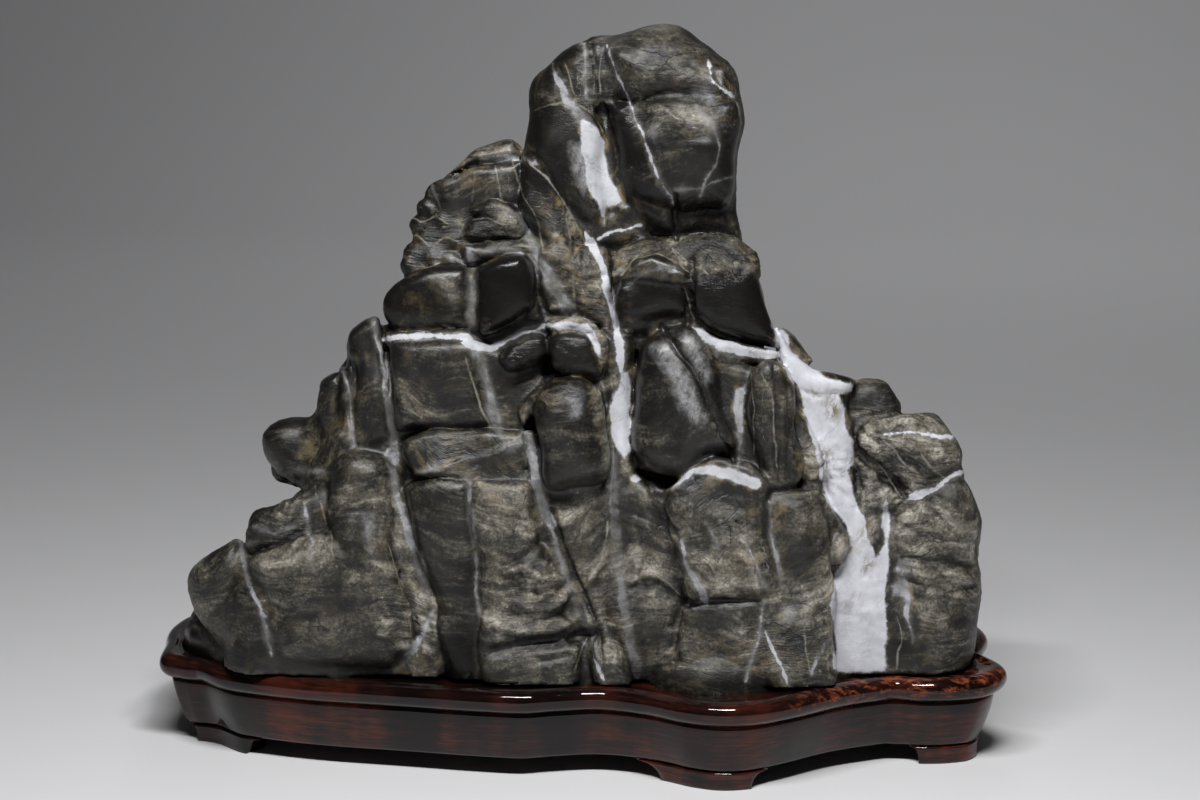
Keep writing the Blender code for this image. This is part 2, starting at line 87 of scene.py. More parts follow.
MIDDLE = (
    (46, -6, 0, -0.05, 2, 0.15, ((15, 166), (19, 173), (27, 176), (36, 173), (42, 168), (34, 166),
     (24, 168))),
    (55, 4, 0.05, -0.08, 5, 0.38, ((2, 128), (8, 127), (11, 116), (11, 103), (9, 93), (3, 96))),
    (35, -6, 0.05, -0.03, 5, -0.06, ((-68, 160), (-64, 166), (-57, 169), (-43, 173), (-38, 172),
     (-37, 148), (-66, 147), (-69, 153))),
    (39, -6, 0, -0.04, 4, -0.15, ((-36, 171), (-27, 175), (-20, 176), (-14, 167), (-15, 156), (-22, 151),
     (-34, 147))),
    (32, -6, 0, -0.1, 3, 0.22, ((-15, 177), (-6, 181), (0, 177), (1, 159), (0, 153), (-10, 154),
     (-13, 163))),
    (34, -6, 0, -0.1, 3, 0.3, ((-1, 178), (10, 179), (13, 163), (14, 153), (12, 148), (1, 152),
     (-1, 163))),
    (43, -6, 0, -0.03, 5, -0.08, ((14, 166), (20, 169), (32, 170), (40, 168), (41, 153), (26, 152),
     (15, 153))),
    (46, -8, -0.1, -0.03, 5, -0.12, ((39, 165), (42, 169.5), (55, 170), (64, 170.5), (67, 163), (69, 151),
     (72, 143), (61, 143), (49, 147.5), (41, 155))),
    (40, -6, 0, -0.75, 3, 0.3, ((12, 168), (14, 178), (22, 181), (36, 182), (58, 181.5), (63.5, 176),
     (66, 168), (40, 165))),
    (36, -6, 0, -0.1, 3, 0.35, ((14, 151), (41, 152), (48, 145), (49, 140), (26, 141), (16, 143))),
    (41, -6, 0.03, -0.05, 4, 0.18, ((-68, 144), (-53, 144), (-38, 144), (-35, 132), (-31, 114),
     (-46, 112), (-63, 111), (-66, 123))),
    (32, -6, 0, -0.1, 4, 0.1, ((-82, 140), (-81, 149), (-76, 152), (-70, 153), (-69, 138), (-80, 137))),
    (34, -6, 0.1, -0.08, 3.5, 0.15, ((-80, 141), (-70, 142), (-68, 127), (-65, 109), (-75, 106),
     (-79, 123))),
    (30, -11, 0.1, -0.08, 3.5, 0.12, ((-86, 135), (-80, 141), (-79, 123), (-75, 106), (-82, 105),
     (-85, 119))),
    (26, -7, 0.15, -0.08, 4, 0.12, ((-93, 131), (-86, 135), (-84, 119), (-82, 105), (-90, 104),
     (-93, 116))),
    (21, -4, 0.1, -0.1, 9, 0.1, ((-113, 106), (-113, 112), (-106, 118), (-97, 119), (-88, 118),
     (-84, 105), (-86, 94), (-101, 91), (-110, 97))),
    (48, 4, 0, 0.06, 4, 0.06, ((-30, 139), (-25, 144), (-17, 146.5), (-11.5, 146), (-11, 139), (-16, 135),
     (-26, 134))),
    (48, 4, 0, 0.06, 4, 0.06, ((-11, 146), (-5, 148), (3, 146), (7.5, 140), (9, 131), (-2, 130),
     (-10, 134))),
    (35, -6, 0, -0.1, 3, 0.2, ((-35, 140), (-28, 136), (-11, 135), (-15, 125), (-20, 114), (-28, 112),
     (-31, 123))),
    (43, 4, 0, -0.4, 4, 0.3, ((-21, 121), (-13, 131), (-6, 133), (8, 132), (11, 126), (8, 123),
     (-12, 121), (-19, 114))),
    (57, 4, -0.05, -0.08, 9, 0.12, ((-15, 122), (-11, 130), (-1, 132), (7, 128), (10, 116), (11, 103),
     (8, 91), (-9, 89), (-13, 93))),
    (53, -1, 0.1, -0.14, 9, 0.1, ((20, 145), (26, 149), (40, 151), (46, 148), (51, 127), (57, 104),
     (44, 100), (37, 95), (25, 97), (20, 103))),
    (44, -1, 0, -0.1, 3, 0.3, ((44, 148), (49, 143), (60, 138), (61, 125), (58, 116), (59, 100),
     (54, 100), (47, 134))),
    (55, 4, 0, -0.05, 5, 0.26, ((61, 132), (66, 138), (73, 138), (77, 132), (80, 97), (78, 91), (71, 89),
     (67, 93), (63, 104))),
    (47, -1, -0.05, -0.1, 3, 0.4, ((77, 123), (82, 119), (87, 108), (87, 91), (80, 90), (78, 109))),
    (44, -1, 0, -0.1, 4, 0.35, ((8, 150), (19, 150), (20, 96), (34, 92), (10, 88))),
)
LOW = (
    (32, -6, 0.25, -0.05, 9, 0.3, ((-142, 56), (-140, 62), (-133, 68), (-121, 73.5), (-118, 61),
     (-112, 31), (-117, 27), (-127, 31), (-138, 42))),
    (38, -10, 0.12, -0.2, 6, 0.3, ((-120, 76), (-116, 82), (-106, 85), (-100, 90), (-91, 93), (-89, 85),
     (-91, 74), (-104, 69), (-119, 67))),
    (48, -8, 0, -0.06, 9, 0.3, ((-90, 96), (-87, 103), (-81, 105), (-74, 105), (-68, 103), (-65, 87),
     (-64, 60), (-74, 56), (-86, 64), (-91, 85))),
    (49, -10, 0.08, -0.03, 11, 0.38, ((-119, 66), (-104, 72), (-87, 77), (-65, 70), (-56, 35), (-60, 27),
     (-72, 23), (-105, 23), (-111, 27), (-114, 46))),
    (45, -6, 0, -0.05, 3, 0.6, ((-70, 104), (-65, 99), (-58, 72), (-51, 46), (-49, 34), (-47, 12),
     (-60, 12), (-64, 38), (-69, 58), (-71, 79))),
    (46, -6, 0, -0.1, 3, 0.28, ((-64, 103), (-62, 108), (-49, 112), (-20, 113), (-18, 107), (-18, 94),
     (-57, 94), (-62, 98))),
    (49.5, -6, 0, -0.03, 5, 0.1, ((-63, 93), (-39, 95), (-36, 79), (-34, 50), (-34, 10), (-46, 10),
     (-51, 46), (-58, 70))),
    (54, -6, 0.03, -0.06, 6, 0.44, ((-40, 95), (-17, 95), (-15, 82), (-9, 64), (-4, 44), (3, 29), (1, 10),
     (-36, 10), (-36, 64))),
    (51, -6, 0, -0.2, 4, 0.4, ((-9, 88), (9, 89), (11, 72), (8, 55), (16, 35), (22, 10), (7, 10), (4, 35),
     (-3, 55), (-8, 70))),
    (48, -6, 0, -0.05, 4, 0.55, ((11, 95), (23, 93), (28, 81), (33, 64), (35, 50), (30, 35), (24, 10),
     (20, 35), (16, 57), (13, 76))),
    (41, -6, 0, -0.1, 3, 0.15, ((14, 64), (40, 64), (41, 8), (18, 8))),
    (59, -1, 0, -0.1, 5, 0.48, ((31, 88), (40, 95), (48, 97), (59, 95), (69, 88), (72, 61), (68, 50),
     (51, 49), (40, 49), (35, 66))),
    (59, -1, 0, -0.05, 4, 0.46, ((37, 47), (42, 49.5), (56, 50), (66, 50.5), (69, 38), (67, 22), (61, 13),
     (50, 8), (41, 12), (37, 27))),
    (57, -1, -0.1, -0.1, 5, 0.5, ((68, 90.5), (78, 92), (87, 91.5), (91, 78), (94, 29), (94, 10),
     (69, 10), (67, 35), (72, 50), (71, 70))),
    (50, 10, 0, 0, 3, 0.5, ((91, 68), (92, 73), (95, 75), (98, 72), (98, 67), (95, 64), (92, 64))),
    (8, -28, 0, -0.1, 2.5, 0.45, ((72, 150), (77, 146), (85, 136), (79, 132), (72, 138))),
    (30, -4, -0.1, -0.2, 5, 0.25, ((94, 127), (101, 131), (109, 131), (117, 121), (114, 116), (101, 114),
     (93, 119))),
    (32, -6, 0, -0.1, 3, 0.35, ((92, 120), (105, 117), (117, 118), (120, 113), (105, 109), (97, 111))),
    (38, -3, -0.15, -0.15, 8, 0.4, ((99, 111), (106, 116), (117, 119), (125, 119), (132, 116), (137, 110),
     (139, 103), (136, 97), (121, 90), (109, 94), (101, 103))),
    (41, -6, 0, 0, 2, 0.5, ((101, 82), (109, 87), (110, 76), (108, 64), (103, 68), (104, 76))),
    (47.5, -6, -0.1, 0, 3, 0.45, ((87, 92), (95, 80), (99, 72), (97, 62), (89, 62), (86, 82))),
    (41, -6, 0, -0.1, 4, 0.45, ((99, 103), (110, 92), (117, 87), (111, 81), (102, 78), (99, 88))),
    (40, -9, -0.2, -0.05, 10, 0.5, ((113, 88), (122, 89), (138, 97), (143, 89), (147, 64), (145, 40),
     (142, 12), (122, 12), (118, 35), (114, 61))),
    (40, -6, 0, -0.05, 3, 0.4, ((110, 72), (118, 64), (121, 50), (123, 12), (113, 12), (112, 46))),
)
BACK = (
    (-8, -42, 0, 0, 6, 0.3, ((-12, 236), (8, 250), (38, 250), (52, 236), (54, 206), (-12, 202))),
    (-4, -38, 0, 0, 4, 0.3, ((-14, 204), (54, 206), (56, 176), (-14, 174))),
    (-2, -35, 0, 0, 4, 0.35, ((-46, 203), (-24, 212), (-14, 200), (-14, 172), (-50, 168))),
    (-4, -50, 0, 0, 5, 0.3, ((-66, 164), (-40, 171), (-12, 172), (-14, 140), (-45, 134), (-68, 142))),
    (-6, -54, 0, 0, 5, 0.35, ((-10, 174), (30, 172), (62, 170), (67, 142), (25, 134), (-12, 140))),
    (-5, -50, 0, 0, 4, 0.4, ((-92, 128), (-70, 141), (-42, 134), (-40, 100), (-70, 92), (-95, 98))),
    (-20, -61, 0, 0, 5, 0.35, ((-40, 135), (-12, 140), (22, 136), (22, 98), (-10, 90), (-40, 98))),
    (-6, -57, 0, 0, 5, 0.3, ((24, 136), (64, 140), (82, 127), (86, 98), (50, 88), (24, 96))),
    (-3, -42, 0, 0, 4, 0.35, ((84, 130), (108, 130), (115, 116), (112, 98), (88, 98))),
    (-1, -39, 0, 0, 4, 0.4, ((112, 116), (128, 118), (136, 108), (134, 94), (114, 92))),
    (-2, -34, 0, 0, 4, 0.3, ((-111, 108), (-98, 117), (-90, 102), (-96, 90), (-109, 94))),
    (-4, -42, 0, 0, 5, 0.4, ((-138, 56), (-124, 68), (-112, 50), (-112, 22), (-130, 22), (-138, 34))),
    (-8, -52, 0, 0, 4, 0.4, ((-119, 76), (-100, 89), (-78, 92), (-72, 60), (-112, 52))),
    (-10, -57, 0, 0, 5, 0.35, ((-112, 54), (-72, 60), (-64, 22), (-112, 22))),
    (-20, -62, 0, 0, 4, 0.45, ((-76, 93), (-42, 98), (-32, 60), (-40, 22), (-64, 22), (-70, 60))),
    (-20, -58, 0, 0, 4, 0.35, ((-40, 97), (-8, 90), (10, 60), (4, 22), (-38, 22), (-30, 60))),
    (-20, -63, 0, 0, 5, 0.4, ((-6, 90), (22, 98), (50, 88), (54, 50), (32, 22), (6, 22), (12, 60))),
    (-20, -60, 0, 0, 5, 0.35, ((52, 87), (88, 96), (98, 60), (92, 22), (34, 22), (56, 50))),
    (-7, -49, 0, 0, 5, 0.4, ((90, 97), (112, 92), (138, 90), (144, 60), (138, 22), (94, 22), (100, 60))),
)
# Stone that lies a little behind the blocks' faces, so that the cracks between them are shallow.
BETWEEN = (
    (35, -10, -0.12, -0.1, 4, 0.35, ((116, 104), (134, 104), (139, 97), (137, 86), (116, 86))),
    (34, -10, 0.2, -0.1, 5, 0.35, ((-130, 48), (-128, 60), (-119, 70), (-106, 76), (-98, 58),
     (-110, 40))),
    (43, -10, 0, -0.05, 6, 0.35, ((-112, 60), (-92, 72), (-66, 70), (-52, 60), (-44, 12), (-108, 12))),
    (37, -10, 0, -0.1, 5, 0.3, ((-100, 78), (-92, 90), (-72, 100), (-60, 100), (-60, 66), (-96, 66))),
    (22, -10, 0.1, -0.1, 5, 0.2, ((-104, 96), (-100, 114), (-90, 124), (-80, 124), (-78, 92), (-98, 88))),
    (24, -10, 0.1, -0.1, 5, 0.2, ((-84, 128), (-80, 146), (-66, 150), (-60, 128))),
    (48, -10, 0, -0.05, 4, 0.4, ((-40, 92), (-56, 98), (-18, 99), (22, 92), (26, 12), (-34, 12))),
    (57.5, -10, 0, -0.05, 4, 0.4, ((38, 88), (84, 88), (90, 12), (42, 12))),
    (50, -10, 0, -0.05, 4, 0.42, ((20, 93), (38, 93), (42, 8), (24, 8))),
    (37, -10, -0.16, -0.1, 6, 0.4, ((98, 110), (132, 106), (141, 60), (140, 12), (112, 12), (110, 60))),
    (39, -8, 0, -0.06, 4, 0.3, ((-66, 144), (-36, 145), (-10, 140), (-18, 112), (-62, 112))),
    (34, -8, 0, -0.06, 4, 0.25, ((-65, 148), (-62, 167), (-40, 171), (-16, 173), (-12, 150))),
    (27, -10, 0.12, -0.06, 4, 0.3, ((-91, 106), (-87, 130), (-72, 144), (-66, 108))),
    (39, -8, -0.04, -0.06, 5, 0.25, ((14, 150), (16, 172), (40, 173), (62, 174), (68, 146), (58, 138))),
    (45, -8, 0, -0.06, 5, 0.25, ((20, 98), (22, 145), (48, 146), (60, 136), (75, 132), (78, 92))),
    (20, -8, 0, -0.2, 5, 0.3, ((-62, 166), (-58, 185), (-47, 198), (-24, 211), (-16, 200), (-14, 176))),
)
CORE = (
    (20, -56, 0, 0, 9, 0.3, ((-104, 58), (-72, 86), (8, 92), (84, 90), (92, 60), (90, 12), (-104, 12))),
    (20, -50, 0, 0, 8, 0.3, ((-84, 94), (-84, 126), (-64, 134), (8, 138), (60, 134), (78, 124),
     (82, 94))),
    (20, -47, 0, 0, 8, 0.3, ((-60, 134), (-56, 162), (-14, 168), (58, 166), (62, 134))),
    (38, -50, 0, -0.1, 14, 0.3, ((-132, 53), (-118, 66), (-82, 79), (8, 87), (98, 94), (127, 88),
     (138, 72), (140, 12), (-128, 12))),
    (32, -46, 0, -0.15, 12, 0.3, ((-89, 116), (-63, 143), (8, 148), (69, 141), (108, 116), (123, 87),
     (132, 60), (-118, 60))),
    (27, -38, 0, -0.15, 12, 0.3, ((-63, 160), (-49, 173), (-17, 190), (15, 193), (59, 173), (67, 145),
     (76, 112), (-83, 112), (-67, 148))),
    (14, -34, 0, -0.1, 12, 0.3, ((-11, 234), (8, 247), (40, 247), (50, 234), (52, 195), (58, 173),
     (-13, 173), (-15, 213))),
    (14, -27, 0, -0.2, 8, 0.3, ((-44, 201), (-27, 212), (-17, 207), (-12, 173), (-58, 169), (-50, 186))),
)
# White calcite that fills the widest cracks, level with the blocks beside it.
VEIN_BODIES = (
    (46, -4, 0, 0, 2, 0.3, ((43, 149), (50, 144.5), (60, 142), (71, 141.5), (71, 136), (58, 136),
     (48, 139), (42, 144))),
    (47, -4, 0, 0, 2, 0.4, ((-12, 149.5), (-8, 152), (0, 152.5), (6, 150), (10, 144), (11, 134),
     (8.5, 134), (7, 140), (3, 146), (-3, 148.5), (-10, 147))),
    (48, -4, 0, 0, 2, 0.3, ((-20, 113), (-15.5, 113), (-13, 98), (-9, 84), (-7, 76), (-11, 76), (-15, 86),
     (-18, 100))),
    (57, -4, 0, -0.1, 3, 0.35, ((30, 90), (38, 98), (47, 102), (62, 100), (70, 93), (68, 84), (48, 90),
     (38, 88))),
    (37, -4, 0, 0, 2, 0.1, ((-69, 147), (-38, 148), (-38, 143.5), (-69, 142.5))),
    (41, -30, -0.05, -0.02, 4, 0.12, ((70, 152), (75, 142), (84, 134), (99, 130), (98, 125), (96, 120),
     (99, 112), (100, 105), (99, 95), (101, 87), (105, 79), (107, 72), (108, 80), (112, 84), (113, 70),
     (113, 12), (93, 12), (93, 40), (94, 62), (97, 70), (95, 76), (91, 82), (88, 92), (84, 108),
     (77, 122), (72, 136))),
    (40, -4, 0, 0, 3, 0.2, ((7, 131), (20, 136), (20, 94), (10, 94))),
)
# Knobs at the shoulder's edge and one on the left slope, as (x, z, radius, front).
KNOBS = (
    (-53, 191, 4, 19), (-56, 185, 3.6, 20), (-54, 180, 4, 22), (-59, 175, 4, 23), (-61, 171, 3.3, 24),
    (-48, 186, 4.4, 22), (-44, 180, 4.4, 24), (-51, 173, 4.4, 26), (-46, 193, 3, 20), (-45, 173, 3.6, 28),
    (-112.5, 77.5, 6.2, 30),
)
KNOB_PALE = 0.2
KNOB_BACK = -6
KNOB_TAPER = 0.12


def cornered(outline, edge):
    """The outline with each corner cut off, as far along its sides as the edge or a share of the side."""
    here = np.array(outline, float)
    cut = []
    for last, corner, following in zip(np.roll(here, 1, axis=0), here, np.roll(here, -1, axis=0)):
        for other in (last, following):
            way = other - corner
            cut.append(corner + way * min(CORNER_SHARE, edge / np.hypot(*way)))
    return np.array(cut)


def outline_distance(x, z, outline):
    """How far (x, z) lies outside a closed outline: the least distance to its sides, negative within."""
    corners = np.array(outline, np.float32)
    nearest = np.full(x.shape, 1e9, np.float32)
    inside = np.zeros(x.shape, bool)
    for (ax, az), (bx, bz) in zip(corners, np.roll(corners, -1, axis=0)):
        along = ((x - ax) * (bx - ax) + (z - az) * (bz - az)) / ((bx - ax) ** 2 + (bz - az) ** 2)
        along = np.clip(along, 0, 1)
        aside = (x - ax - along * (bx - ax)) ** 2 + (z - az - along * (bz - az)) ** 2
        nearest = np.minimum(nearest, aside)
        if az != bz:
            inside ^= ((az > z) != (bz > z)) & (x < ax + (z - az) * (bx - ax) / (bz - az))
    return np.where(inside, -1, 1) * np.sqrt(nearest)


def worn_block(x, f, z, row):
    """Distance outside one block: an outline drawn out between two depths, with its edges rounded.

    The outline narrows towards the back, and each face swells by a share of the edge radius."""
    front, back, lean_right, lean_up, edge, _, outline = row
    middle_x, middle_z = np.mean(outline, axis=0)
    share = 1 - (1 - BACK_TAPER) * np.clip((front - f) / (front - back), 0, 1)
    worn = cornered(outline, CORNER_WEAR * edge)
    wide_x, wide_z = middle_x + (x - middle_x) / share, middle_z + (z - middle_z) / share
    aside = outline_distance(wide_x, wide_z, worn) * share
    swell = SWELL * edge * np.clip(-aside / (SWELL_REACH * edge), 0, 1) ** 0.5
    ahead = f - front - lean_right * (x - middle_x) - lean_up * (z - middle_z) - swell
    depth = np.maximum(ahead, back - f - swell)
    a, b = aside + edge, depth + edge
    return np.minimum(np.maximum(a, b), 0) + np.hypot(np.maximum(a, 0), np.maximum(b, 0)) - edge


def knob(x, f, z, row):
    """Distance outside a knob: a ball drawn out towards the back."""
    middle_x, middle_z, radius, front = row
    behind = np.maximum(front - radius - f, 0) * KNOB_TAPER
    ahead = np.maximum(f - front + radius, 0)
    return np.sqrt((x - middle_x) ** 2 + (z - middle_z) ** 2 + ahead ** 2) - radius + behind


# ==== The rock: its skin ==================================================================
# The blocks are merged on a grid of distances, cut to the stand's seat, and skinned with a
# mesh. Wrinkles, dents and drawn folds are then pressed into the skin along its normals.

MM = 0.001
# The grid's spacing and corners, how far from a block distances are taken, and the width of a weld.
STEP = 1.0
GRID_LOW = np.array([-152.0, -74.0, 5.0])
GRID_HIGH = np.array([154.0, 74.0, 262.0])
REACH = 6.0
WELD = 1.8
# Room round a block's outline, in front of its front and behind its back, for bends and leans.
SIDE_ROOM, FRONT_ROOM, BACK_ROOM = 2, 24, 4

LIP_TOP = 33.0
SEAT_FLOOR = 25.0
FIT = 0.4
REST_GAP = 0.3
# The rock's foot fills the seat, and draws in from BASE_RISE above the lip to its own top.
BASE_TOP = 46.0
BASE_RISE = 3
BASE_DRAW_IN = 12
CUT_ABOVE_BASE = 26
SEAT_STEPS = 2
SEAT_PLAN = (
    (-141, -4), (-123, -29), (-107, -33), (-85, -47), (-63, -37), (-44, -38), (-26, -46), (-4, -53),
    (10, -50), (20, -44), (28, -56), (42, -64), (57, -62), (74, -56), (90, -46), (109, -37), (127, -36),
    (138, -28), (142, -8), (143, 12), (138, 30), (122, 41), (98, 47), (84, 55), (60, 58), (28, 61),
    (4, 56), (-18, 57), (-50, 60), (-70, 55), (-92, 56), (-110, 50), (-124, 42), (-139, 31), (-144, 14),
)


def smooth_loop(points, corners, steps):
    """A closed Catmull-Rom curve through the points, with steps spans from each to the next.

    A span is a cubic whose slope at each end is half the way between that point's neighbours;
    a corner takes the way to the one neighbour instead."""
    here = np.array(points, float)
    after = np.roll(here, -1, axis=0)
    sharp = np.array([p in corners for p in points])[:, None]
    slope = (after - np.roll(here, 1, axis=0)) / 2
    leave = np.where(sharp, after - here, slope)[:, None]
    arrive = np.where(np.roll(sharp, -1, axis=0), after - here, np.roll(slope, -1, axis=0))[:, None]
    t = (np.arange(steps) / steps)[None, :, None]
    here, after = here[:, None], after[:, None]
    cubic = (2 * t**3 - 3 * t**2 + 1) * here + (t**3 - 2 * t**2 + t) * leave
    return (cubic + (3 * t**2 - 2 * t**3) * after + (t**3 - t**2) * arrive).reshape(-1, 2)


def in_place(points):
    """The real place, in millimetres, of points drawn at (x, z) and standing f forward: (x, -f, z)."""
    nearer = (1 + points[..., 1] / -EYE[1])[..., None]
    placed = EYE + (points - EYE) * nearer
    placed[..., 1] = points[..., 1]
    return placed


def drawn_from(placed):
    """The drawn points of real ones: the way of in_place taken back."""
    nearer = (1 + placed[:, 1] / -EYE[1])[:, None]
    points = EYE + (placed - EYE) / nearer
    points[:, 1] = placed[:, 1]
    return points


NOISE_SIZE = 32


def value_noise(points, size, seed):
    """Smooth noise from -1 to 1: random values on a lattice of the given size, eased between."""
    table = np.random.default_rng(seed).uniform(-1, 1, (NOISE_SIZE,) * 3).astype(np.float32)
    scaled = points / size
    cell = np.floor(scaled).astype(np.int64)
    t = (scaled - cell).astype(np.float32)
    t = t * t * (3 - 2 * t)
    total = np.zeros(points.shape[:-1], np.float32)
    for corner in range(8):
        i, j, k = corner & 1, corner >> 1 & 1, corner >> 2 & 1
        weight = (t[..., 0] if i else 1 - t[..., 0]) * (t[..., 1] if j else 1 - t[..., 1])
        weight = weight * (t[..., 2] if k else 1 - t[..., 2])
        at = tuple((cell[..., n] + step) % NOISE_SIZE for n, step in enumerate((i, j, k)))
        total += weight * table[at]
    return total


def noise_vector(points, size, seeds):
    """Three noises of one size, as a vector at each point."""
    return np.stack([value_noise(points, size, seed) for seed in seeds], axis=-1)


def bent(x, y, z):
    """The places moved by up to 1.3 mm along slow and quick sine waves, so that no edge is straight."""
    bend_x = 0.8 * np.sin(z / 7.1 + y / 19) + 0.5 * np.sin(z / 3.7 + x / 11 + 2)
    bend_z = 0.8 * np.sin(x / 8.3 + y / 17 + 1) + 0.5 * np.sin(x / 4.1 + z / 13 + 4)
    bend_y = 0.9 * np.sin(x / 9.7 + 3) * np.sin(z / 8.9 + 1) + 0.4 * np.sin(x / 4.3 + z / 5.1)
    return x + bend_x, y + bend_y, z + bend_z


def shapes_of_rock():
    """Each block and knob as (distance function, row, front, back, outline, paleness)."""
    blocks = CORE + BETWEEN + BACK + SUMMIT + SHOULDER + MIDDLE + LOW + VEIN_BODIES
    shapes = [(worn_block, row, row[0], row[1], row[6], row[5]) for row in blocks]
    for row in KNOBS:
        x, z, radius, front = row
        square = ((x - radius, z - radius), (x + radius, z + radius))
        shapes.append((knob, row, front, KNOB_BACK, square, KNOB_PALE))
    return shapes


def rock_distances():
    """The grid's axes, its distances to the nearest and next block, and the nearest one's paleness."""
    axes = [np.arange(low, high, STEP, dtype=np.float32) for low, high in zip(GRID_LOW, GRID_HIGH)]
    x, y, z = bent(*np.meshgrid(*axes, indexing="ij", copy=False))
    nearest = np.full(x.shape, REACH, np.float32)
    second = np.full(x.shape, REACH, np.float32)
    pale = np.zeros(x.shape, np.float32)
    for distance_to, row, front, back, outline, paleness in shapes_of_rock():
        low = np.min(outline, axis=0) - REACH - SIDE_ROOM
        high = np.max(outline, axis=0) + REACH + SIDE_ROOM
        lows = np.array([low[0], -front - FRONT_ROOM, low[1]])
        highs = np.array([high[0], -back + REACH + BACK_ROOM, high[1]])
        firsts = np.clip(((lows - GRID_LOW) / STEP).astype(int), 0, None)
        lasts = ((highs - GRID_LOW) / STEP).astype(int) + 1
        part = tuple(slice(first, last) for first, last in zip(firsts, lasts))
        distance = distance_to(x[part], -y[part], z[part], row)
        closer = distance < nearest[part]
        second[part] = np.where(closer, nearest[part], np.minimum(second[part], distance))
        blend = np.clip(1 - np.abs(distance - nearest[part]) / WELD, 0, 1) ** 2 * WELD / 4
        nearest[part] = np.where(closer, distance, nearest[part]) - blend
        pale[part] = np.where(closer, paleness, pale[part])
    return axes, nearest, second, pale


def cut_to_seat(axes, distance):
    """Adds the foot that fills the seat to the distances, and cuts away what would be in the stand."""
    top = int((BASE_TOP + CUT_ABOVE_BASE - GRID_LOW[2]) / STEP)
    points = np.stack(np.meshgrid(axes[0], axes[1], axes[2][:top], indexing="ij"), axis=-1)
    placed = in_place(points.astype(np.float64))
    loop = smooth_loop(SEAT_PLAN, (), SEAT_STEPS)
    across, along = placed[..., 0].astype(np.float32), placed[..., 1].astype(np.float32)
    plan = outline_distance(across, along, loop.astype(np.float32)) + FIT
    height = placed[..., 2]
    draw_in = np.clip((height - LIP_TOP - BASE_RISE) / (BASE_TOP - LIP_TOP), 0, 1) ** 2 * BASE_DRAW_IN
    foot = np.maximum(plan + draw_in, height - BASE_TOP)
    allowed = np.maximum(np.minimum(LIP_TOP + FIT - height, plan), SEAT_FLOOR + REST_GAP - height)
    distance[:, :, :top] = np.maximum(np.minimum(distance[:, :, :top], foot), allowed)


def net_of(distance):
    """A surface net: one vertex in each cell that the surface crosses, at the middle of its crossings.

    Every grid edge that crosses the surface becomes a quad of the four cells around it."""
    solid = distance < 0
    count = np.zeros(np.array(distance.shape) - 1, np.int8)
    corners = [(i, j, k) for i in (0, 1) for j in (0, 1) for k in (0, 1)]
    span = [slice(0, -1), slice(1, None)]
    for i, j, k in corners:
        count += solid[span[i], span[j], span[k]]
    cells = np.argwhere((count > 0) & (count < 8))
    values = {c: distance[tuple((cells + c).T)] for c in corners}
    total = np.zeros(cells.shape)
    crossings = np.zeros(len(cells))
    for a in corners:
        for axis in range(3):
            if a[axis]:
                continue
            b = tuple(1 if n == axis else a[n] for n in range(3))
            crossed = (values[a] < 0) != (values[b] < 0)
            share = np.where(crossed, values[a] / np.where(crossed, values[a] - values[b], 1), 0)
            total += np.where(crossed[:, None], np.array(a) + share[:, None] * (np.array(b) - a), 0)
            crossings += crossed
    numbers = np.full(count.shape, -1, np.int32)
    numbers[tuple(cells.T)] = np.arange(len(cells))
    quads = []
    for axis in range(3):
        u, v = (axis + 1) % 3, (axis + 2) % 3
        first = [slice(1, -1)] * 3
        first[axis] = slice(0, -1)
        other = list(first)
        other[axis] = slice(1, None)
        starts = solid[tuple(first)]
        edges = np.argwhere(starts != solid[tuple(other)])
        leaving = starts[tuple(edges.T)]
        base = edges + 1
        base[:, axis] -= 1
        ring = []
        for du, dv in ((-1, -1), (0, -1), (0, 0), (-1, 0)):
            at = base.copy()
            at[:, u] += du
            at[:, v] += dv
            ring.append(numbers[tuple(at.T)])
        ring = np.stack(ring, axis=1)
        quads.append(np.where(leaving[:, None], ring, ring[:, ::-1]))
    return cells + total / crossings[:, None], np.concatenate(quads)


def vertex_normals(points, quads):
    """Unit normals of a mesh of quads: the sum of each vertex's faces' diagonals crossed."""
    a, b, c, d = points[quads].transpose(1, 0, 2)
    across = np.cross(c - a, d - b)
    sums = [np.bincount(quads.ravel(), np.repeat(across[:, n], 4), len(points)) for n in range(3)]
    normals = np.stack(sums, axis=1)
    return normals / np.maximum(np.linalg.norm(normals, axis=1), 1e-9)[:, None]


def grid_value(points, grid):
    """The grid's value at drawn points, by trilinear interpolation between its corners."""
    at = np.clip((points - GRID_LOW) / STEP, 0, np.array(grid.shape) - 1.001)
    cell = at.astype(int)
    t = at - cell
    total = np.zeros(len(points))
    for corner in range(8):
        step = np.array((corner & 1, corner >> 1 & 1, corner >> 2 & 1))
        weight = np.prod(np.where(step, t, 1 - t), axis=1)
        total += weight * grid[tuple((cell + step).T)]
    return total


def line_offsets(x, z, points):
    """For each place: its distance from a drawn line, its signed offset and how far it lies past an end.

    The offset is the distance from the nearest stretch drawn on without end, positive to its right."""
    nearest = np.full(len(x), 1e9)
    offset = np.zeros(len(x))
    past = np.zeros(len(x))
    last = len(points) - 2
    for n, ((ax, az), (bx, bz)) in enumerate(zip(points, points[1:])):
        length = np.hypot(bx - ax, bz - az)
        along = ((x - ax) * (bx - ax) + (z - az) * (bz - az)) / length
        aside = ((x - ax) * (az - bz) + (z - az) * (bx - ax)) / length
        beyond = np.maximum(-along, along - length).clip(0)
        distance = np.hypot(aside, beyond)
        closer = distance < nearest
        nearest = np.where(closer, distance, nearest)
        offset = np.where(closer, aside, offset)
        ends = np.where(along < 0, n == 0, n == last)
        past = np.where(closer, np.where(ends, beyond, 0), past)
    return nearest, offset, past


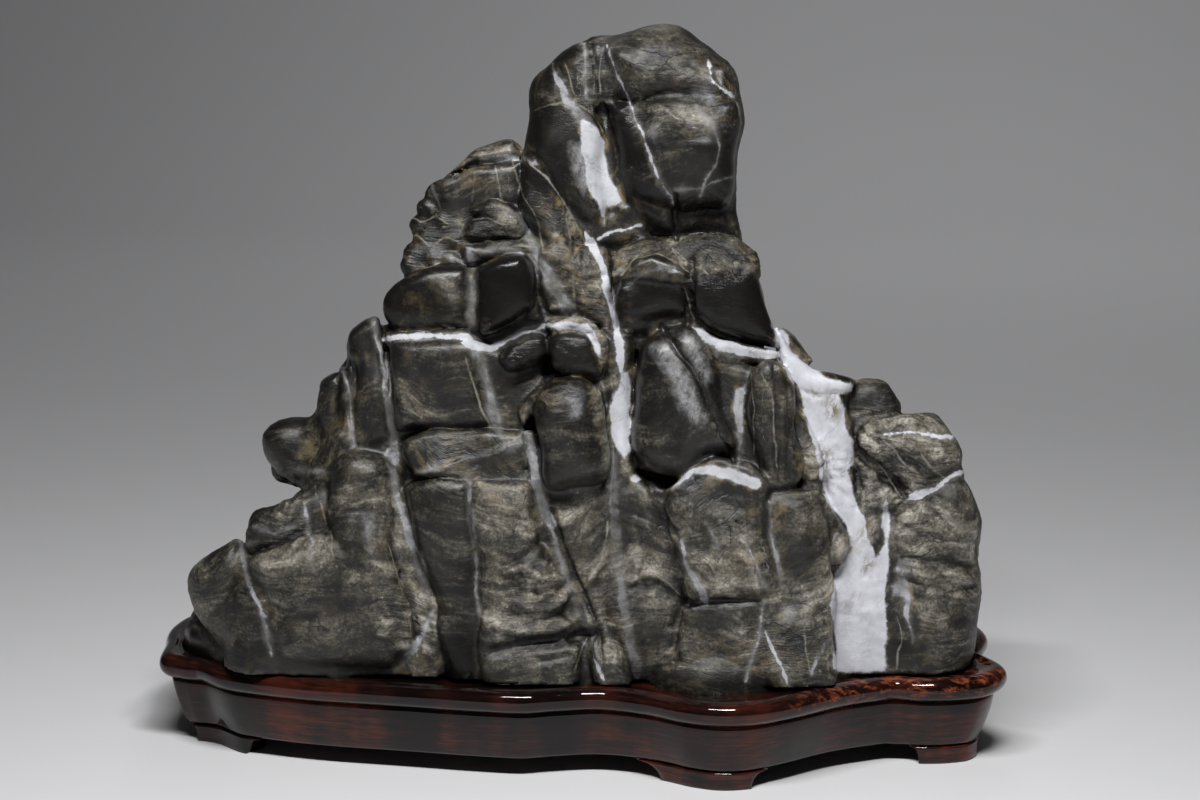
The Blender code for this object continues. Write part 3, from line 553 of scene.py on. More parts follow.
# Folds and cracks in the skin, as (height, half width, points): grooves are negative.
FOLDS = (
    (-1.7, 0.8, ((30, 150), (36, 142), (41, 134), (46, 125), (51, 114), (56, 101))),
    (-1.5, 0.8, ((35, 196), (35, 180))),
    (-2.2, 1.0, ((40, 174), (40, 158), (40, 151))),
    (-2.2, 1.0, ((-9, 82), (-6, 70), (-2, 60), (2, 52), (5, 44), (7, 36), (9, 28))),
    (-1.1, 1.1, ((117, 66), (126, 64.5), (133, 65), (142, 62))),
    (1.1, 1.3, ((114, 60), (126, 59), (142, 58))),
    (-1.0, 1.1, ((119, 57), (126, 54), (134, 53), (144, 55.5))),
    (0.7, 1.0, ((114, 52), (120, 49))),
    (-1.1, 0.9, ((102, 112), (112, 107), (124, 97))),
    (-0.7, 0.6, ((80, 126), (86, 124), (92, 125.5), (97, 125))),
    (-0.7, 0.6, ((92, 125), (90, 120), (91.5, 114))),
    (-0.8, 0.7, ((106, 70), (104, 66), (103.5, 58))),
    (-0.9, 0.9, ((100, 107), (108, 100), (117, 89))),
    (-0.9, 1.4, ((-27, 62), (-19, 66), (-13, 71))),
    (1.2, 1.2, ((11, 75), (9, 64), (3, 55))),
    (1.5, 1.6, ((-26, 60), (-20, 62), (-12, 58), (-6, 57))),
    (-0.8, 1.0, ((-20, 52), (-14, 52), (-8, 54), (-5, 51))),
    (1.5, 1.4, ((-22, 48), (-14, 46), (-8, 48), (-4, 53))),
    (-0.9, 1.1, ((-28, 45), (-20, 41.5), (-12, 43), (-5, 45), (-2, 51))),
    (1.1, 1.2, ((-30, 40), (-20, 37), (-8, 38), (-1, 43))),
    (-3.0, 2.6, ((-31, 30), (-17, 33), (-6, 34.5), (4, 37))),
    (-1.3, 1.2, ((-25, 24), (-14, 27), (-2, 29))),
    (-1.4, 1.2, ((-2, 17), (1, 26), (3, 33), (6, 27), (9, 18))),
    (0.9, 1.0, ((-58, 97), (-46, 99), (-32, 103), (-20, 107))),
    (-1.2, 0.8, ((25, 94), (29, 86), (33, 78), (36, 72))),
    (1.4, 1.2, ((20, 56), (24, 59.5), (30, 58), (36, 53))),
    (-0.8, 0.8, ((14, 84), (22, 81), (32, 77))),
    (-0.6, 0.7, ((17, 78), (25, 75), (33, 70))),
    (-1.1, 0.8, ((39, 48), (48, 48.5), (58, 49), (66, 50.5))),
    (-0.9, 0.9, ((70, 136), (72, 120), (71, 94))),
    (-0.8, 0.8, ((75, 131), (77, 112), (75, 95))),
    (-1.3, 0.8, ((-64, 60), (-60, 50), (-58, 38), (-57, 30))),
    (0.9, 1.2, ((14, 226), (22, 229), (30, 227), (36, 223))),
    (-0.9, 1.0, ((-84, 140), (-82, 125), (-80, 107))),
    (1.0, 1.2, ((60, 71), (63, 60), (66, 50))),
    (-0.9, 1.0, ((4, 250), (8, 238), (10, 224))),
)
# Where the skin is crumpled, as (x, z, radius, strength).
CRUMPLED = (
    (-17, 52, 14, 0.8), (-30, 183, 10, 0.8), (2, 165, 15, 0.9), (50, 175, 12, 0.8), (-54, 182, 9, 0.25),
    (30, 243, 11, 0.6), (-4, 141, 7, 0.35), (-19, 141, 7, 0.35), (50, 120, 8, 0.5), (-104, 86, 12, 0.8),
    (44, 84, 11, 0.4), (127, 84, 15, 1.0), (106, 92, 8, 0.6), (114, 112, 14, 0.7), (88, 96, 11, 0.9),
    (79, 36, 14, 0.6), (-62, 42, 12, 0.9), (4, 232, 11, 0.7), (-8, 127, 8, 0.8), (-34, 104, 12, 0.25),
    (26, 50, 12, 0.8), (24, 224, 8, 0.8), (45, 230, 6, 0.8), (12, 70, 10, 0.5), (-96, 70, 12, 0.5),
)
# What is drawn lies on the front: crumples and spots up to this Y, folds up to the other.
SPOTS_END, FOLDS_END = 5, 6
FOLD_HEIGHT = 1.3
# Noises that warp the others, as (size, seeds), and how far they move a wrinkle.
LEAN = (38, (21, 22, 23))
WARP = (13, (11, 12, 13))
LEAN_REACH, WARP_REACH = 22, 4.5
# The three sizes of wrinkle, as (size, share, seed), in a space flattened so that they run mostly level.
WRINKLES = ((9.5, 0.5, 17), (5.0, 0.33, 18), (2.9, 0.2, 20))
FLATTENED = np.array((1, 1, 2.0))
# How crumpled the skin is everywhere, and how much more by its paleness and by noise.
CRUMPLE_LEAST, CRUMPLE_PALE, CRUMPLE_DRIFT = 0.08, 0.5, 0.15
# Noises of the relief, as (size, seed), and their heights in millimetres.
DRIFT, BROAD, SMALL, DENTS, DRAPES = (24, 14), (21, 15), (10, 16), (5.5, 19), (15, 41)
BROAD_HIGH, SMALL_HIGH, WRINKLE_HIGH, DENT_DEEP, DRAPE_HIGH = 0.8, 0.45, 0.95, 1.3, 1.3
SMALL_WARP, DRAPE_WARP, FOLD_WARP = 3, 6, 0.9
DENT_LEAST, DRAPE_LEAST = 0.35, 0.15
# The drapes hang down the pale stone, so their space is drawn out in height.
DRAWN_OUT = np.array((1, 1, 0.6))
# Noises, as (size, seed), that make the folds ragged in x and in z.
RAGGED_X, RAGGED_Z = (3.5, 24), (3.5, 25)
RAGGED_REACH = 0.4
# The relief fades in from this far below the lip's top, over this height.
FADE_BELOW, FADE_SPAN = 12, 14


def near_spots(points, rows):
    """For each row of (x, z, radius, strength), its strength times a round bell over the front."""
    for x, z, radius, strength in rows:
        near = np.exp(-((points[:, 0] - x) ** 2 + (points[:, 2] - z) ** 2) / radius**2)
        yield np.where(points[:, 1] < SPOTS_END, strength * near, 0)


def folds_of(points, pale):
    """The wrinkles, from about -1 in a groove to 1 on a swell, and how strong they are at each point.

    A wrinkle is |n| to the power 0.65, whose valleys are sharp and whose tops are round: n is noise in a
    space that is warped, flattened so that wrinkles run mostly level, and taken at three sizes."""
    flow = points + LEAN_REACH * noise_vector(points, *LEAN) + WARP_REACH * noise_vector(points, *WARP)
    flow = flow * FLATTENED
    total = np.zeros(len(points))
    for size, share, seed in WRINKLES:
        total += share * (np.abs(value_noise(flow, size, seed)) ** 0.65 * 2.6 - 1)
    strength = CRUMPLE_LEAST + CRUMPLE_PALE * pale + CRUMPLE_DRIFT * value_noise(points, *DRIFT)
    for crumple in near_spots(points, CRUMPLED):
        strength += crumple
    return total, np.clip(strength, 0.05, 1.5)


def relief(points, pale):
    """How far the worn skin stands out, in millimetres: broad swells, wrinkles, a few dents, drapes on
    pale stone and the drawn folds, which are bells across their lines. It fades out at the seat."""
    warp = noise_vector(points, *WARP)
    swell = BROAD_HIGH * value_noise(points, *BROAD)
    swell = swell + SMALL_HIGH * value_noise(points + SMALL_WARP * warp, *SMALL)
    wrinkles, strength = folds_of(points, pale)
    dents = -np.clip(value_noise(points, *DENTS) - DENT_LEAST, 0, 1) * DENT_DEEP
    drape = np.abs(value_noise((points + DRAPE_WARP * warp) * DRAWN_OUT, *DRAPES)) ** 0.8 * 2.2 - 1
    height = (0.5 + 0.5 * strength) * swell + WRINKLE_HIGH * strength * wrinkles + 0.5 * strength * dents
    height += DRAPE_HIGH * np.clip(pale - DRAPE_LEAST, 0, 0.5) * drape
    x = points[:, 0] + FOLD_WARP * warp[:, 0] + RAGGED_REACH * value_noise(points, *RAGGED_X)
    z = points[:, 2] + FOLD_WARP * warp[:, 2] + RAGGED_REACH * value_noise(points, *RAGGED_Z)
    ahead = points[:, 1] < FOLDS_END
    for rise, half_width, line in FOLDS:
        distance, _, _ = line_offsets(x, z, line)
        height += np.where(ahead, FOLD_HEIGHT * rise * np.exp(-(distance / half_width) ** 2), 0)
    return height * np.clip((points[:, 2] - LIP_TOP + FADE_BELOW) / FADE_SPAN, 0, 1)


# Veins of calcite, as (width at the start, width at the end, whiteness, points). Each set keeps to
# lines that lie well apart, because a set is stored as one field over the skin.
VEINS_A = (
    (3.2, 3.4, 0.6, ((-8, 240), (-5, 235), (-2, 228), (2, 221))),
    (0.6, 1.0, 0.8, ((11, 249), (15, 238), (20, 227), (24, 214), (28, 205), (31, 199), (34, 193))),
    (4.0, 2.0, 0.85, ((4, 180), (7, 175), (10, 166), (12, 158), (14, 147), (16, 133), (16, 122))),
    (2.0, 2.6, 0.6, ((-73, 151), (-70, 142), (-68, 124), (-65, 110), (-65, 100))),
    (3.4, 2.0, 0.55, ((-67, 104), (-65, 90), (-59, 68), (-53, 50))),
    (3.0, 2.8, 0.65, ((-19, 112), (-17, 106), (-15, 94), (-12, 83), (-10, 77))),
    (1.4, 1.6, 0.36, ((-10, 76), (-6, 64), (-4, 56), (0, 48), (5, 38), (7, 24))),
    (3.2, 2.4, 0.36, ((12, 102), (14, 68), (16, 50), (19, 34), (21, 23))),
    (1.2, 2.4, 0.7, ((36, 72), (39, 65), (42, 57), (46, 49.5))),
    (1.2, 1.2, 0.65, ((67, 49), (66, 42), (66, 36), (62, 26), (60, 19))),
    (1.8, 1.0, 0.65, ((-121, 72), (-120, 61), (-116, 50), (-113, 40), (-111, 30))),
    (3.4, 1.0, 0.62, ((116, 62), (119, 49), (121, 34))),
    (1.2, 1.2, 0.4, ((-51, 176.5), (-44, 174), (-38, 171.5))),
)
VEINS_B = (
    (0.8, 1.2, 0.5, ((1, 252), (3, 243), (4, 229))),
    (1.2, 0.7, 0.5, ((43, 227), (47, 222), (50, 214), (49, 208), (46, 203), (44, 199), (43, 195))),
    (1.6, 4.0, 0.5, ((-21, 190), (-17, 181), (-13, 172), (-8, 163), (-3, 155))),
    (2.2, 2.2, 0.46, ((-38, 176), (-37, 146))),
    (2.6, 3.2, 0.45, ((-37, 145), (-35, 138), (-32, 127), (-29, 113))),
    (1.6, 0.8, 0.55, ((-40, 96), (-37, 71), (-36, 45))),
    (0.7, 0.7, 0.5, ((-84, 140), (-82, 125), (-80, 107))),
    (1.2, 0.8, 0.6, ((-98, 85), (-96, 70), (-95, 60))),
    (0.9, 0.8, 0.6, ((60, 71), (64, 62), (68, 54))),
    (1.6, 1.4, 0.8, ((111, 86), (111, 69))),
    (1.2, 1.0, 0.5, ((69, 85), (71, 70), (73, 56))),
    (1.0, 1.2, 0.6, ((85, 22), (88, 30), (91, 36))),
    (0.9, 1.2, 0.85, ((6, 27), (9, 21))),
    (1.4, 1.4, 0.9, ((46, 243), (47, 238), (50, 235), (54, 232))),
    (1.8, 0.9, 0.5, ((58, 112), (58, 99))),
)
VEINS_C = (
    (2.2, 2.6, 0.85, ((-68, 145), (-53, 146), (-39, 146))),
    (0.4, 1.8, 0.6, ((46, 79), (48, 75), (50, 70))),
    (2.6, 1.8, 0.75, ((-39, 144), (-31, 142.5), (-25, 145.5), (-18, 148.5), (-11, 150))),
    (1.8, 1.4, 0.55, ((-33, 209), (-26, 210), (-20, 210))),
    (3.4, 4.0, 0.8, ((44, 147.5), (51, 143), (59, 140.5), (71, 139.5))),
    (1.4, 0.8, 0.4, ((-117, 76), (-110, 74.5), (-103, 76))),
    (2.2, 1.6, 0.4, ((-106, 96), (-100, 98), (-92, 97))),
    (1.0, 1.8, 1.0, ((110, 110.5), (118, 111), (128, 110.5), (134, 109.5))),
    (2.8, 1.4, 0.85, ((122, 88.5), (127, 91), (133, 94), (139, 97))),
    (1.2, 1.0, 0.95, ((8, 181), (13, 183.5), (22, 185.5))),
    (0.8, 0.8, 0.4, ((-57, 97), (-46, 99), (-32, 103), (-20, 107))),
    (2.2, 2.6, 0.55, ((-52, 44), (-57, 35), (-65, 24))),
    (0.8, 1.8, 0.8, ((68, 38), (71, 30), (74, 24), (76, 19))),
    (0.8, 1.6, 0.6, ((17, 164), (22, 167.5), (28, 170), (35, 170))),
    (1.4, 1.0, 0.5, ((-38, 178), (-32, 176.5), (-26, 177.5), (-20, 176.5))),
    (0.6, 0.6, 0.4, ((42, 47), (50, 46.5), (57, 47))),
    (0.5, 0.5, 0.3, ((34, 198), (43, 199), (52, 202.5), (55, 203))),
)
# Hairlines of pale ochre, in the same form.
HAIRLINES = (
    (0.5, 0.4, 0.5, ((-16, 226), (-10, 229), (-3, 230), (5, 225), (9, 219))),
    (0.5, 0.5, 0.75, ((-17, 208.5), (-11, 203), (-5, 194), (-3, 190))),
    (0.4, 0.4, 0.5, ((-3, 190), (0, 184), (3, 178))),
    (0.4, 0.4, 0.8, ((55, 231), (57, 224), (58, 216))),
    (0.9, 0.5, 0.8, ((2, 252), (3, 241), (4, 233), (5, 226))),
    (0.5, 0.4, 0.5, ((-4, 243), (-1, 235), (0, 231))),
    (0.5, 0.4, 0.6, ((9, 246), (8, 238), (8, 230))),
    (0.6, 0.6, 0.9, ((-44, 203), (-42, 196))),
    (0.5, 0.7, 0.8, ((-36, 204), (-36, 198), (-37, 195))),
    (0.5, 0.5, 0.8, ((-29, 206), (-27, 200), (-26, 195))),
    (1.0, 0.6, 0.8, ((-51, 200), (-48, 192))),
    (0.4, 0.2, 0.5, ((-59, 190), (-55, 187), (-50, 190), (-45, 186))),
    (0.2, 0.4, 0.5, ((-61, 179), (-57, 182.5), (-52, 178), (-47, 182), (-42, 180))),
    (0.2, 0.4, 0.5, ((-64, 174), (-59, 175), (-54, 170), (-49, 172))),
    (0.5, 0.5, 0.8, ((101, 105), (108, 99), (114, 92), (117, 88))),
    (0.5, 0.5, 0.8, ((110, 108), (116, 102), (122, 97))),
    (0.5, 0.5, 0.6, ((123, 104), (128, 98), (131, 95))),
    (0.4, 0.4, 0.6, ((15, 168), (20, 174), (28, 176), (36, 173), (40, 169))),
    (0.5, 0.5, 0.5, ((-5, 190), (-2, 172), (-1, 155))),
    (0.5, 0.5, 0.6, ((-40, 139), (-38, 129), (-35, 121), (-31, 113))),
    (0.5, 0.5, 0.6, ((12, 122), (13, 104), (12, 84))),
    (0.5, 0.5, 0.4, ((-68, 70), (-66, 60), (-62, 47), (-58, 29))),
    (0.4, 0.4, 0.4, ((-94, 92), (-90, 76), (-88, 66))),
    (0.6, 0.6, 0.5, ((21, 58), (26, 60.5), (32, 57), (37, 52))),
    (0.5, 0.5, 0.6, ((11, 78), (9, 65), (4, 57))),
    (0.5, 0.5, 0.6, ((3, 36), (1, 29), (-1, 22))),
    (0.5, 0.5, 0.6, ((81, 44), (82, 33), (85, 22))),
    (0.5, 0.6, 0.7, ((115.5, 46), (116.5, 36), (116, 25))),
    (0.4, 0.5, 0.5, ((91, 62), (90, 44), (91, 22))),
    (0.5, 0.5, 0.6, ((-24, 213), (-20, 198), (-14, 186), (-12, 176))),
    (0.5, 0.5, 0.6, ((-37, 188), (-32, 189), (-24, 186))),
    (0.5, 0.4, 0.6, ((34, 177), (40, 172), (46, 168))),
    (0.5, 0.4, 0.6, ((52, 174), (55, 170), (57, 166))),
    (0.3, 0.3, 0.7, ((38, 163), (40, 157), (42, 150))),
    (0.3, 0.4, 0.7, ((62, 134), (64, 120), (63, 104))),
    (0.3, 0.6, 0.7, ((66, 133), (69, 127), (70.5, 118), (70, 108), (72, 98))),
)
# How far from its line a vein and a hairline are still looked for.
VEIN_REACH, HAIR_REACH = 5.0, 3.0
# The widest bodies of calcite, as (whiteness, outline).
CALCITE = (
    (0.8, ((1.5, 224), (5, 223.5), (8, 218), (9.5, 211), (12, 204), (15, 198), (18.5, 191.5),
     (13.5, 192.5), (10.5, 191.5), (9.5, 185), (7, 190), (3.5, 198), (2, 205), (0.5, 214))),
    (0.85, ((16, 134), (18.5, 134), (19, 120), (18.5, 104), (17, 101), (14, 104), (11, 111), (11, 120),
     (13, 127))),
    (0.9, ((-12, 149), (-8, 151.5), (-3, 152.5), (2, 151.5), (6.5, 148.5), (9.5, 143), (10, 134),
     (8, 140), (4, 145.5), (-1, 148.5), (-7, 148.5))),
    (0.7, ((56, 128), (60.5, 129), (60.5, 121), (60, 112), (57.5, 110), (56, 120))),
    (0.9, ((18.5, 95), (21, 96), (23.5, 93.5), (21.5, 91.5), (19, 92.5))),
    (0.6, ((48, 240), (50, 241), (52, 237), (51, 234.5), (49, 236))),
    (0.85, ((33, 90.5), (38, 92), (43, 95), (46, 95), (52, 94), (59, 92), (65, 90), (66.5, 92.5),
     (65.5, 95.5), (58, 97.5), (50, 99), (46, 99.5), (42, 98), (37, 94.5))),
    (0.55, ((116, 61), (118, 61), (121.5, 50), (121, 46), (119, 46.5), (118, 50), (114, 49),
     (113.5, 54))),
    (0.6, ((-43, 189), (-41.5, 189), (-41, 184), (-42.5, 183.5))),
    (1, ((69, 152), (74, 148), (76, 142), (80, 138), (89, 132), (98, 129), (98, 126), (93, 125),
     (95, 121), (97, 113), (99, 107), (98, 97), (100, 87), (104, 79), (105, 73), (107, 66), (110, 71),
     (108, 82), (111, 83), (112, 71), (112, 49), (112, 23), (93, 23), (91, 49), (92, 60), (95, 63.5),
     (98, 69), (95.5, 76), (91, 82), (88.5, 88), (87.5, 97), (86, 103), (83, 112), (80, 118), (79, 127),
     (74, 134), (69, 142))),
)
# Where the black stone is lightened in patches: mostly painted sheen and highlight on faces that catch
# the lamps, a few of fine frosted calcite.
SHEEN_AND_FROST = (
    ((27, 143), (31, 144), (35, 139), (39, 131), (43, 123), (46, 116), (43, 114), (38, 118), (34, 126),
     (31, 134), (28, 138)),
    ((36, 146), (39, 146), (43, 143), (46, 137), (48, 130), (46, 128), (43, 133), (39, 139)),
    ((-3, 124), (2, 125), (3, 119), (0, 116), (-3, 118)),
    ((42, 234), (45, 236), (49, 230), (47, 228)),
    ((42, 227), (45, 226), (49, 220), (47, 219)),
    ((26, 221), (28, 221), (27, 216), (25, 217)),
    ((-3, 215), (2, 215), (4, 198), (2, 196), (-1, 203)),
    ((-78, 82), (-74, 82), (-73, 73), (-76, 72)),
    ((73, 48), (79, 48), (80, 42), (75, 40)),
)
# Stains of iron, as (x, z, radius, strength).
STAINS = (
    (48, 238, 4, 1), (53, 234, 4, 0.9), (0, 182, 8, 0.6), (-4, 168, 9, 0.35), (9, 160, 7, 0.5),
    (-6, 190, 6, 0.5), (12, 172, 6, 0.7), (-12, 128, 7, 0.4), (-24, 90, 7, 0.5), (85, 100, 7, 0.7),
    (-22, 212, 5, 0.4), (-50, 100, 10, 0.3), (22, 178, 6, 0.5), (62, 175, 5, 0.4), (66, 62, 8, 0.4),
    (125, 112, 8, 0.3), (-38, 210, 8, 0.5), (91, 119, 3.5, 1), (92, 124, 3, 0.8), (84, 125, 3, 0.7),
    (103.5, 63, 3.5, 1), (68, 80, 4, 0.8), (88, 101, 3, 0.8), (97, 69, 4, 0.6), (98, 48, 9, 0.3),
    (104, 74, 3, 0.8),
)
# Darker places, in the same form; a negative strength is a paler one. Some are the stone's own tone,
# others are painted shade on hollows and overhangs and painted sheen on faces that the lamps light.
TONE_SHADE_AND_SHEEN = (
    (-42, 34, 9, 0.2), (-42, 22, 9, 0.3), (-56, 85, 8, 0.1), (32, 42, 6, 0.25), (32, 28, 8, 0.3),
    (22, 72, 8, -0.2), (1, 62, 6, 0.12), (132, 40, 13, 0.12), (132, 24, 14, 0.18), (0, 72, 9, -0.18),
    (1, 85, 8, -0.18), (-18, 67, 7, 0.15), (106, 94, 8, 0.12), (108, 123, 9, 0.1), (130, 65, 5, 0.15),
    (47, 187, 10, 0.25), (22, 196, 7, 0.2), (-54, 186, 10, 0.3), (-50, 174, 7, 0.15), (-28, 187, 7, 0.22),
    (-27, 211, 6, 0.12), (97, 116, 4, -0.2), (104, 84, 6, -0.3), (104, 74, 4, -0.4), (108, 78, 3, -0.3),
    (94, 68, 5, -0.2), (-25, 92, 7, -0.12), (66, 115, 9, -0.16), (54, 120, 6, -0.25), (56, 106, 5, -0.25),
    (-15, 33, 6, 0.25), (-49, 166, 6, -0.1), (-4, 134, 7, 0.15), (-20, 137, 6, 0.1), (-60, 100, 4, 0.3),
    (28, 246, 16, -0.08), (36, 226, 12, -0.1), (116, 33, 5, 0.25), (-95, 32, 22, 0.12),
    (48, 88, 10, 0.18), (12, 222, 6, 0.2), (16, 208, 7, 0.15), (-12, 198, 8, 0.15), (-44, 160, 5, -0.3),
    (-50, 170, 7, -0.15), (24, 225, 7, -0.15), (33, 208, 7, -0.08), (46, 231, 5, -0.2),
    (77, 44, 6, -0.15), (-30, 200, 7, -0.12), (-70, 85, 6, -0.12), (-118, 56, 5, -0.15),
)
# How veins and bodies waver, as (size, reach, seed for x, seed for z).
VEIN_WAVER = ((9, 0.9, 31, 33), (3.4, 0.4, 32, 34))
BODY_WAVER = ((8, 1.2, 36, 37), (3.2, 0.7, 39, 40))
# Behind this Y the drawing wanders in x and in z, as (reach, length), so that the back differs.
WANDER_START = 4
WANDER_X, WANDER_Z = (9, 21), (-7, 17)


def wavering(points, waver):
    """Where the drawing is looked up for each point: (x, z) moved by noise, and by slow waves behind."""
    behind = np.clip(points[:, 1] - WANDER_START, 0, None)
    x, z = (
        points[:, axis] + reach * np.sin(behind / length)
        for axis, (reach, length) in ((0, WANDER_X), (2, WANDER_Z))
    )
    for size, reach, seed_x, seed_z in waver:
        x += reach * value_noise(points, size, seed_x)
        z += reach * value_noise(points, size, seed_z)
    return x, z


def vein_field(points, veins, reach):
    """Three numbers for a set of veins at each point: signed offset, half width there and whiteness.

    The half width shrinks past an end, and is negative wherever no vein lies within reach."""
    x, z = wavering(points, VEIN_WAVER)
    swing = 1 + 0.5 * value_noise(points, 8, 35) + 0.35 * value_noise(points, 3.5, 38)
    field = np.zeros((len(points), 3), np.float32)
    field[:, 1] = -9
    best = np.full(len(points), reach)
    for first, last, white, line in veins:
        distance, offset, past = line_offsets(x, z, line)
        share = np.clip((line[0][1] - z) / (line[0][1] - line[-1][1] + 1e-6), 0, 1)
        half = (first + (last - first) * share) / 2 * swing - 0.5 * past
        closer = distance < best
        best = np.where(closer, distance, best)
        field[closer] = np.stack([offset, half, np.full(len(x), white)], axis=1)[closer]
    return field


def calcite_and_sheen_field(points):
    """Three numbers: the distance outside the widest white bodies, the nearest one's whiteness, and the
    distance outside the patches of painted sheen and frost. A distance is negative within."""
    x, z = (place.astype(np.float32) for place in wavering(points, BODY_WAVER))
    field = np.full((len(x), 3), 8, np.float32)
    for white, outline in CALCITE:
        distance = outline_distance(x, z, outline)
        closer = distance < field[:, 0]
        field[:, 0] = np.where(closer, distance, field[:, 0])
        field[:, 1] = np.where(closer, white, field[:, 1])
    for outline in SHEEN_AND_FROST:
        field[:, 2] = np.minimum(field[:, 2], outline_distance(x, z, outline))
    return field


def new_piece(name, points, faces):
    """An object of its own with this mesh, its points given in millimetres."""
    mesh = bpy.data.meshes.new(name)
    mesh.from_pydata((points * MM).tolist(), [], faces)
    mesh.polygons.foreach_set("use_smooth", np.full(len(mesh.polygons), True))
    mesh.update()
    piece = bpy.data.objects.new(name, mesh)
    bpy.context.scene.collection.objects.link(piece)
    return piece


def thinned(piece, triangles):
    """The piece with its mesh cut to this many triangles: Decimate, applied."""
    fewer = piece.modifiers.new("fewer", "DECIMATE")
    fewer.ratio = triangles / (2 * len(piece.data.polygons))
    graph = bpy.context.evaluated_depsgraph_get()
    mesh = bpy.data.meshes.new_from_object(piece.evaluated_get(graph))
    old = piece.data
    piece.modifiers.clear()
    piece.data = mesh
    bpy.data.meshes.remove(old)
    mesh.polygons.foreach_set("use_smooth", np.full(len(mesh.polygons), True))
    return piece


def of_vertices(mesh, key):
    """A vector for each vertex of the mesh."""
    values = np.empty(len(mesh.vertices) * 3)
    mesh.vertices.foreach_get(key, values)
    return values.reshape(-1, 3)


def store(mesh, name, values):
    """Keeps one number, or three, for each point of the mesh."""
    kind, key = ("FLOAT_VECTOR", "vector") if values.ndim == 2 else ("FLOAT", "value")
    mesh.attributes.new(name, kind, "POINT").data.foreach_set(key, values.astype(np.float32).ravel())


ROCK_TRIANGLES = 196000
# How far out and in the stone is felt for, to tell closed-in places and worn edges.
FEEL = 4.0
GAP_MOST = 6
LIE_MOST = 1.5

axes, nearest, second, paleness = rock_distances()
gap_between = second - nearest
cut_to_seat(axes, nearest)
cells, quads = net_of(nearest)
skin = GRID_LOW + STEP * cells
placed = in_place(skin)
placed += vertex_normals(placed, quads) * relief(skin, grid_value(skin, paleness))[:, None]
rock = thinned(new_piece("limestone_rock", placed, quads.tolist()), ROCK_TRIANGLES)
skin = drawn_from(of_vertices(rock.data, "co") / MM)
skin_pale = grid_value(skin, paleness)
gap = np.clip(grid_value(skin, gap_between), 0, GAP_MOST)
# The spots lower or raise the paleness kept for the colour: stone tone, painted shade and painted sheen.
shade, stain = (sum(near_spots(skin, rows)) for rows in (TONE_SHADE_AND_SHEEN, STAINS))
store(rock.data, "stone", np.stack([skin_pale - shade, gap, stain], axis=1))
# The wrinkles' depth is kept to paint shade into their grooves and light onto their ridges.
wrinkles, strength = folds_of(skin, skin_pale)
store(rock.data, "wrinkle_shade_and_light", -wrinkles * strength)
reach_out = FEEL * of_vertices(rock.data, "normal")
closed_in = 1 - grid_value(skin + reach_out, nearest) / FEEL
worn_edge = 1 + grid_value(skin - reach_out, nearest) / FEEL
# Closed-in places are darkened in the stone's colour as painted shade; worn edges are made paler.
store(rock.data, "lie", np.stack([closed_in, worn_edge, strength], axis=1).clip(0, LIE_MOST))
for attribute, veins in (("veins_a", VEINS_A), ("veins_b", VEINS_B), ("veins_c", VEINS_C)):
    store(rock.data, attribute, vein_field(skin, veins, VEIN_REACH))
store(rock.data, "hairlines", vein_field(skin, HAIRLINES, HAIR_REACH))
# The third number of the calcite field outlines the patches of painted sheen and frost.
store(rock.data, "calcite", calcite_and_sheen_field(skin))


# ==== The rock: its stone =================================================================
# Dark carbonaceous limestone, rubbed and waxed: black and smooth on the hard blocks, greyer
# and wrinkled on the soft ones, with chalky calcite in the cracks and iron along their edges.
# Shade in the hollows, in the cracks and at the foot, and sheen on some faces, are painted into the
# colour.

BLACK_STONE = (0.006, 0.0056, 0.005)
STONE_RAMP = (
    (0.0, BLACK_STONE), (0.2, (0.016, 0.0145, 0.012)), (0.45, (0.06, 0.054, 0.043)),
    (0.7, (0.158, 0.145, 0.118)), (1.0, (0.34, 0.32, 0.28)),
)
IRON = (0.24, 0.18, 0.09)
OCHRE = (0.17, 0.145, 0.095)
VEIN_EDGE = (0.13, 0.125, 0.115)
CALCITE_GREY = (0.16, 0.16, 0.165)
CALCITE_WHITE = (0.53, 0.535, 0.575)
CALCITE_STAIN = (0.15, 0.12, 0.08)
HAIR_PALE = (0.22, 0.215, 0.2)
SHEEN_AND_FROST_WHITE = (0.34, 0.34, 0.35)

# Noises, as (scale, octaves, roughness).
CLOUDS = (55.0, 9.0, 0.66)
BLOTCH = (170.0, 6.0, 0.7)
GRAIN = (950.0, 4.0, 0.7)
SPECKS = (620.0, 2.0, 0.6)
CRACKED = (48.0, 4.0, 0.55)
LAYERED = (16.0, 2.0, 0.55)
RUSTED = (24.0, 3.0, 0.55)
FLECKS = (160.0, 6.0, 0.7)
RAGGED = (300.0, 6.0, 0.75)
BROKEN = (75.0, 5.0, 0.65)
SHEEN_AND_FROST_NOISE = (240.0, 8.0, 0.85)
STAINED = (210.0, 7.0, 0.75)
# Noises drawn out along axes of their own, as (scale along each, turn, octaves, roughness).
LAYERS = ((20, 20, 120), (0.12, 0.15, 0), 9.0, 0.7)
HATCHING = ((110, 110, 720), (0.1, -0.12, 0), 4.0, 0.65)
PATCHES = ((75, 75, 150), (0, 0, 0), 9.0, 0.74)
# Cells whose walls are the fine cracks, as (scale along each axis, turn), and half a crack's width.
CELLS = ((42, 42, 120), (0.15, 0.2, 0))
CRACK_HALF = 0.025
# Warps, as (scale, reach in metres).
BROAD_WARP, FINE_WARP, CELL_WARP = (14.0, 0.05), (70.0, 0.008), (110.0, 0.012)
# The foot of the stone is darkest below the first of these heights, and not darkened above the other:
# painted shade where the foot sinks behind the stand's lip.
FOOT_DARK, FOOT_LIGHT = 0.033, 0.044
STONE_BUMP = 0.0012


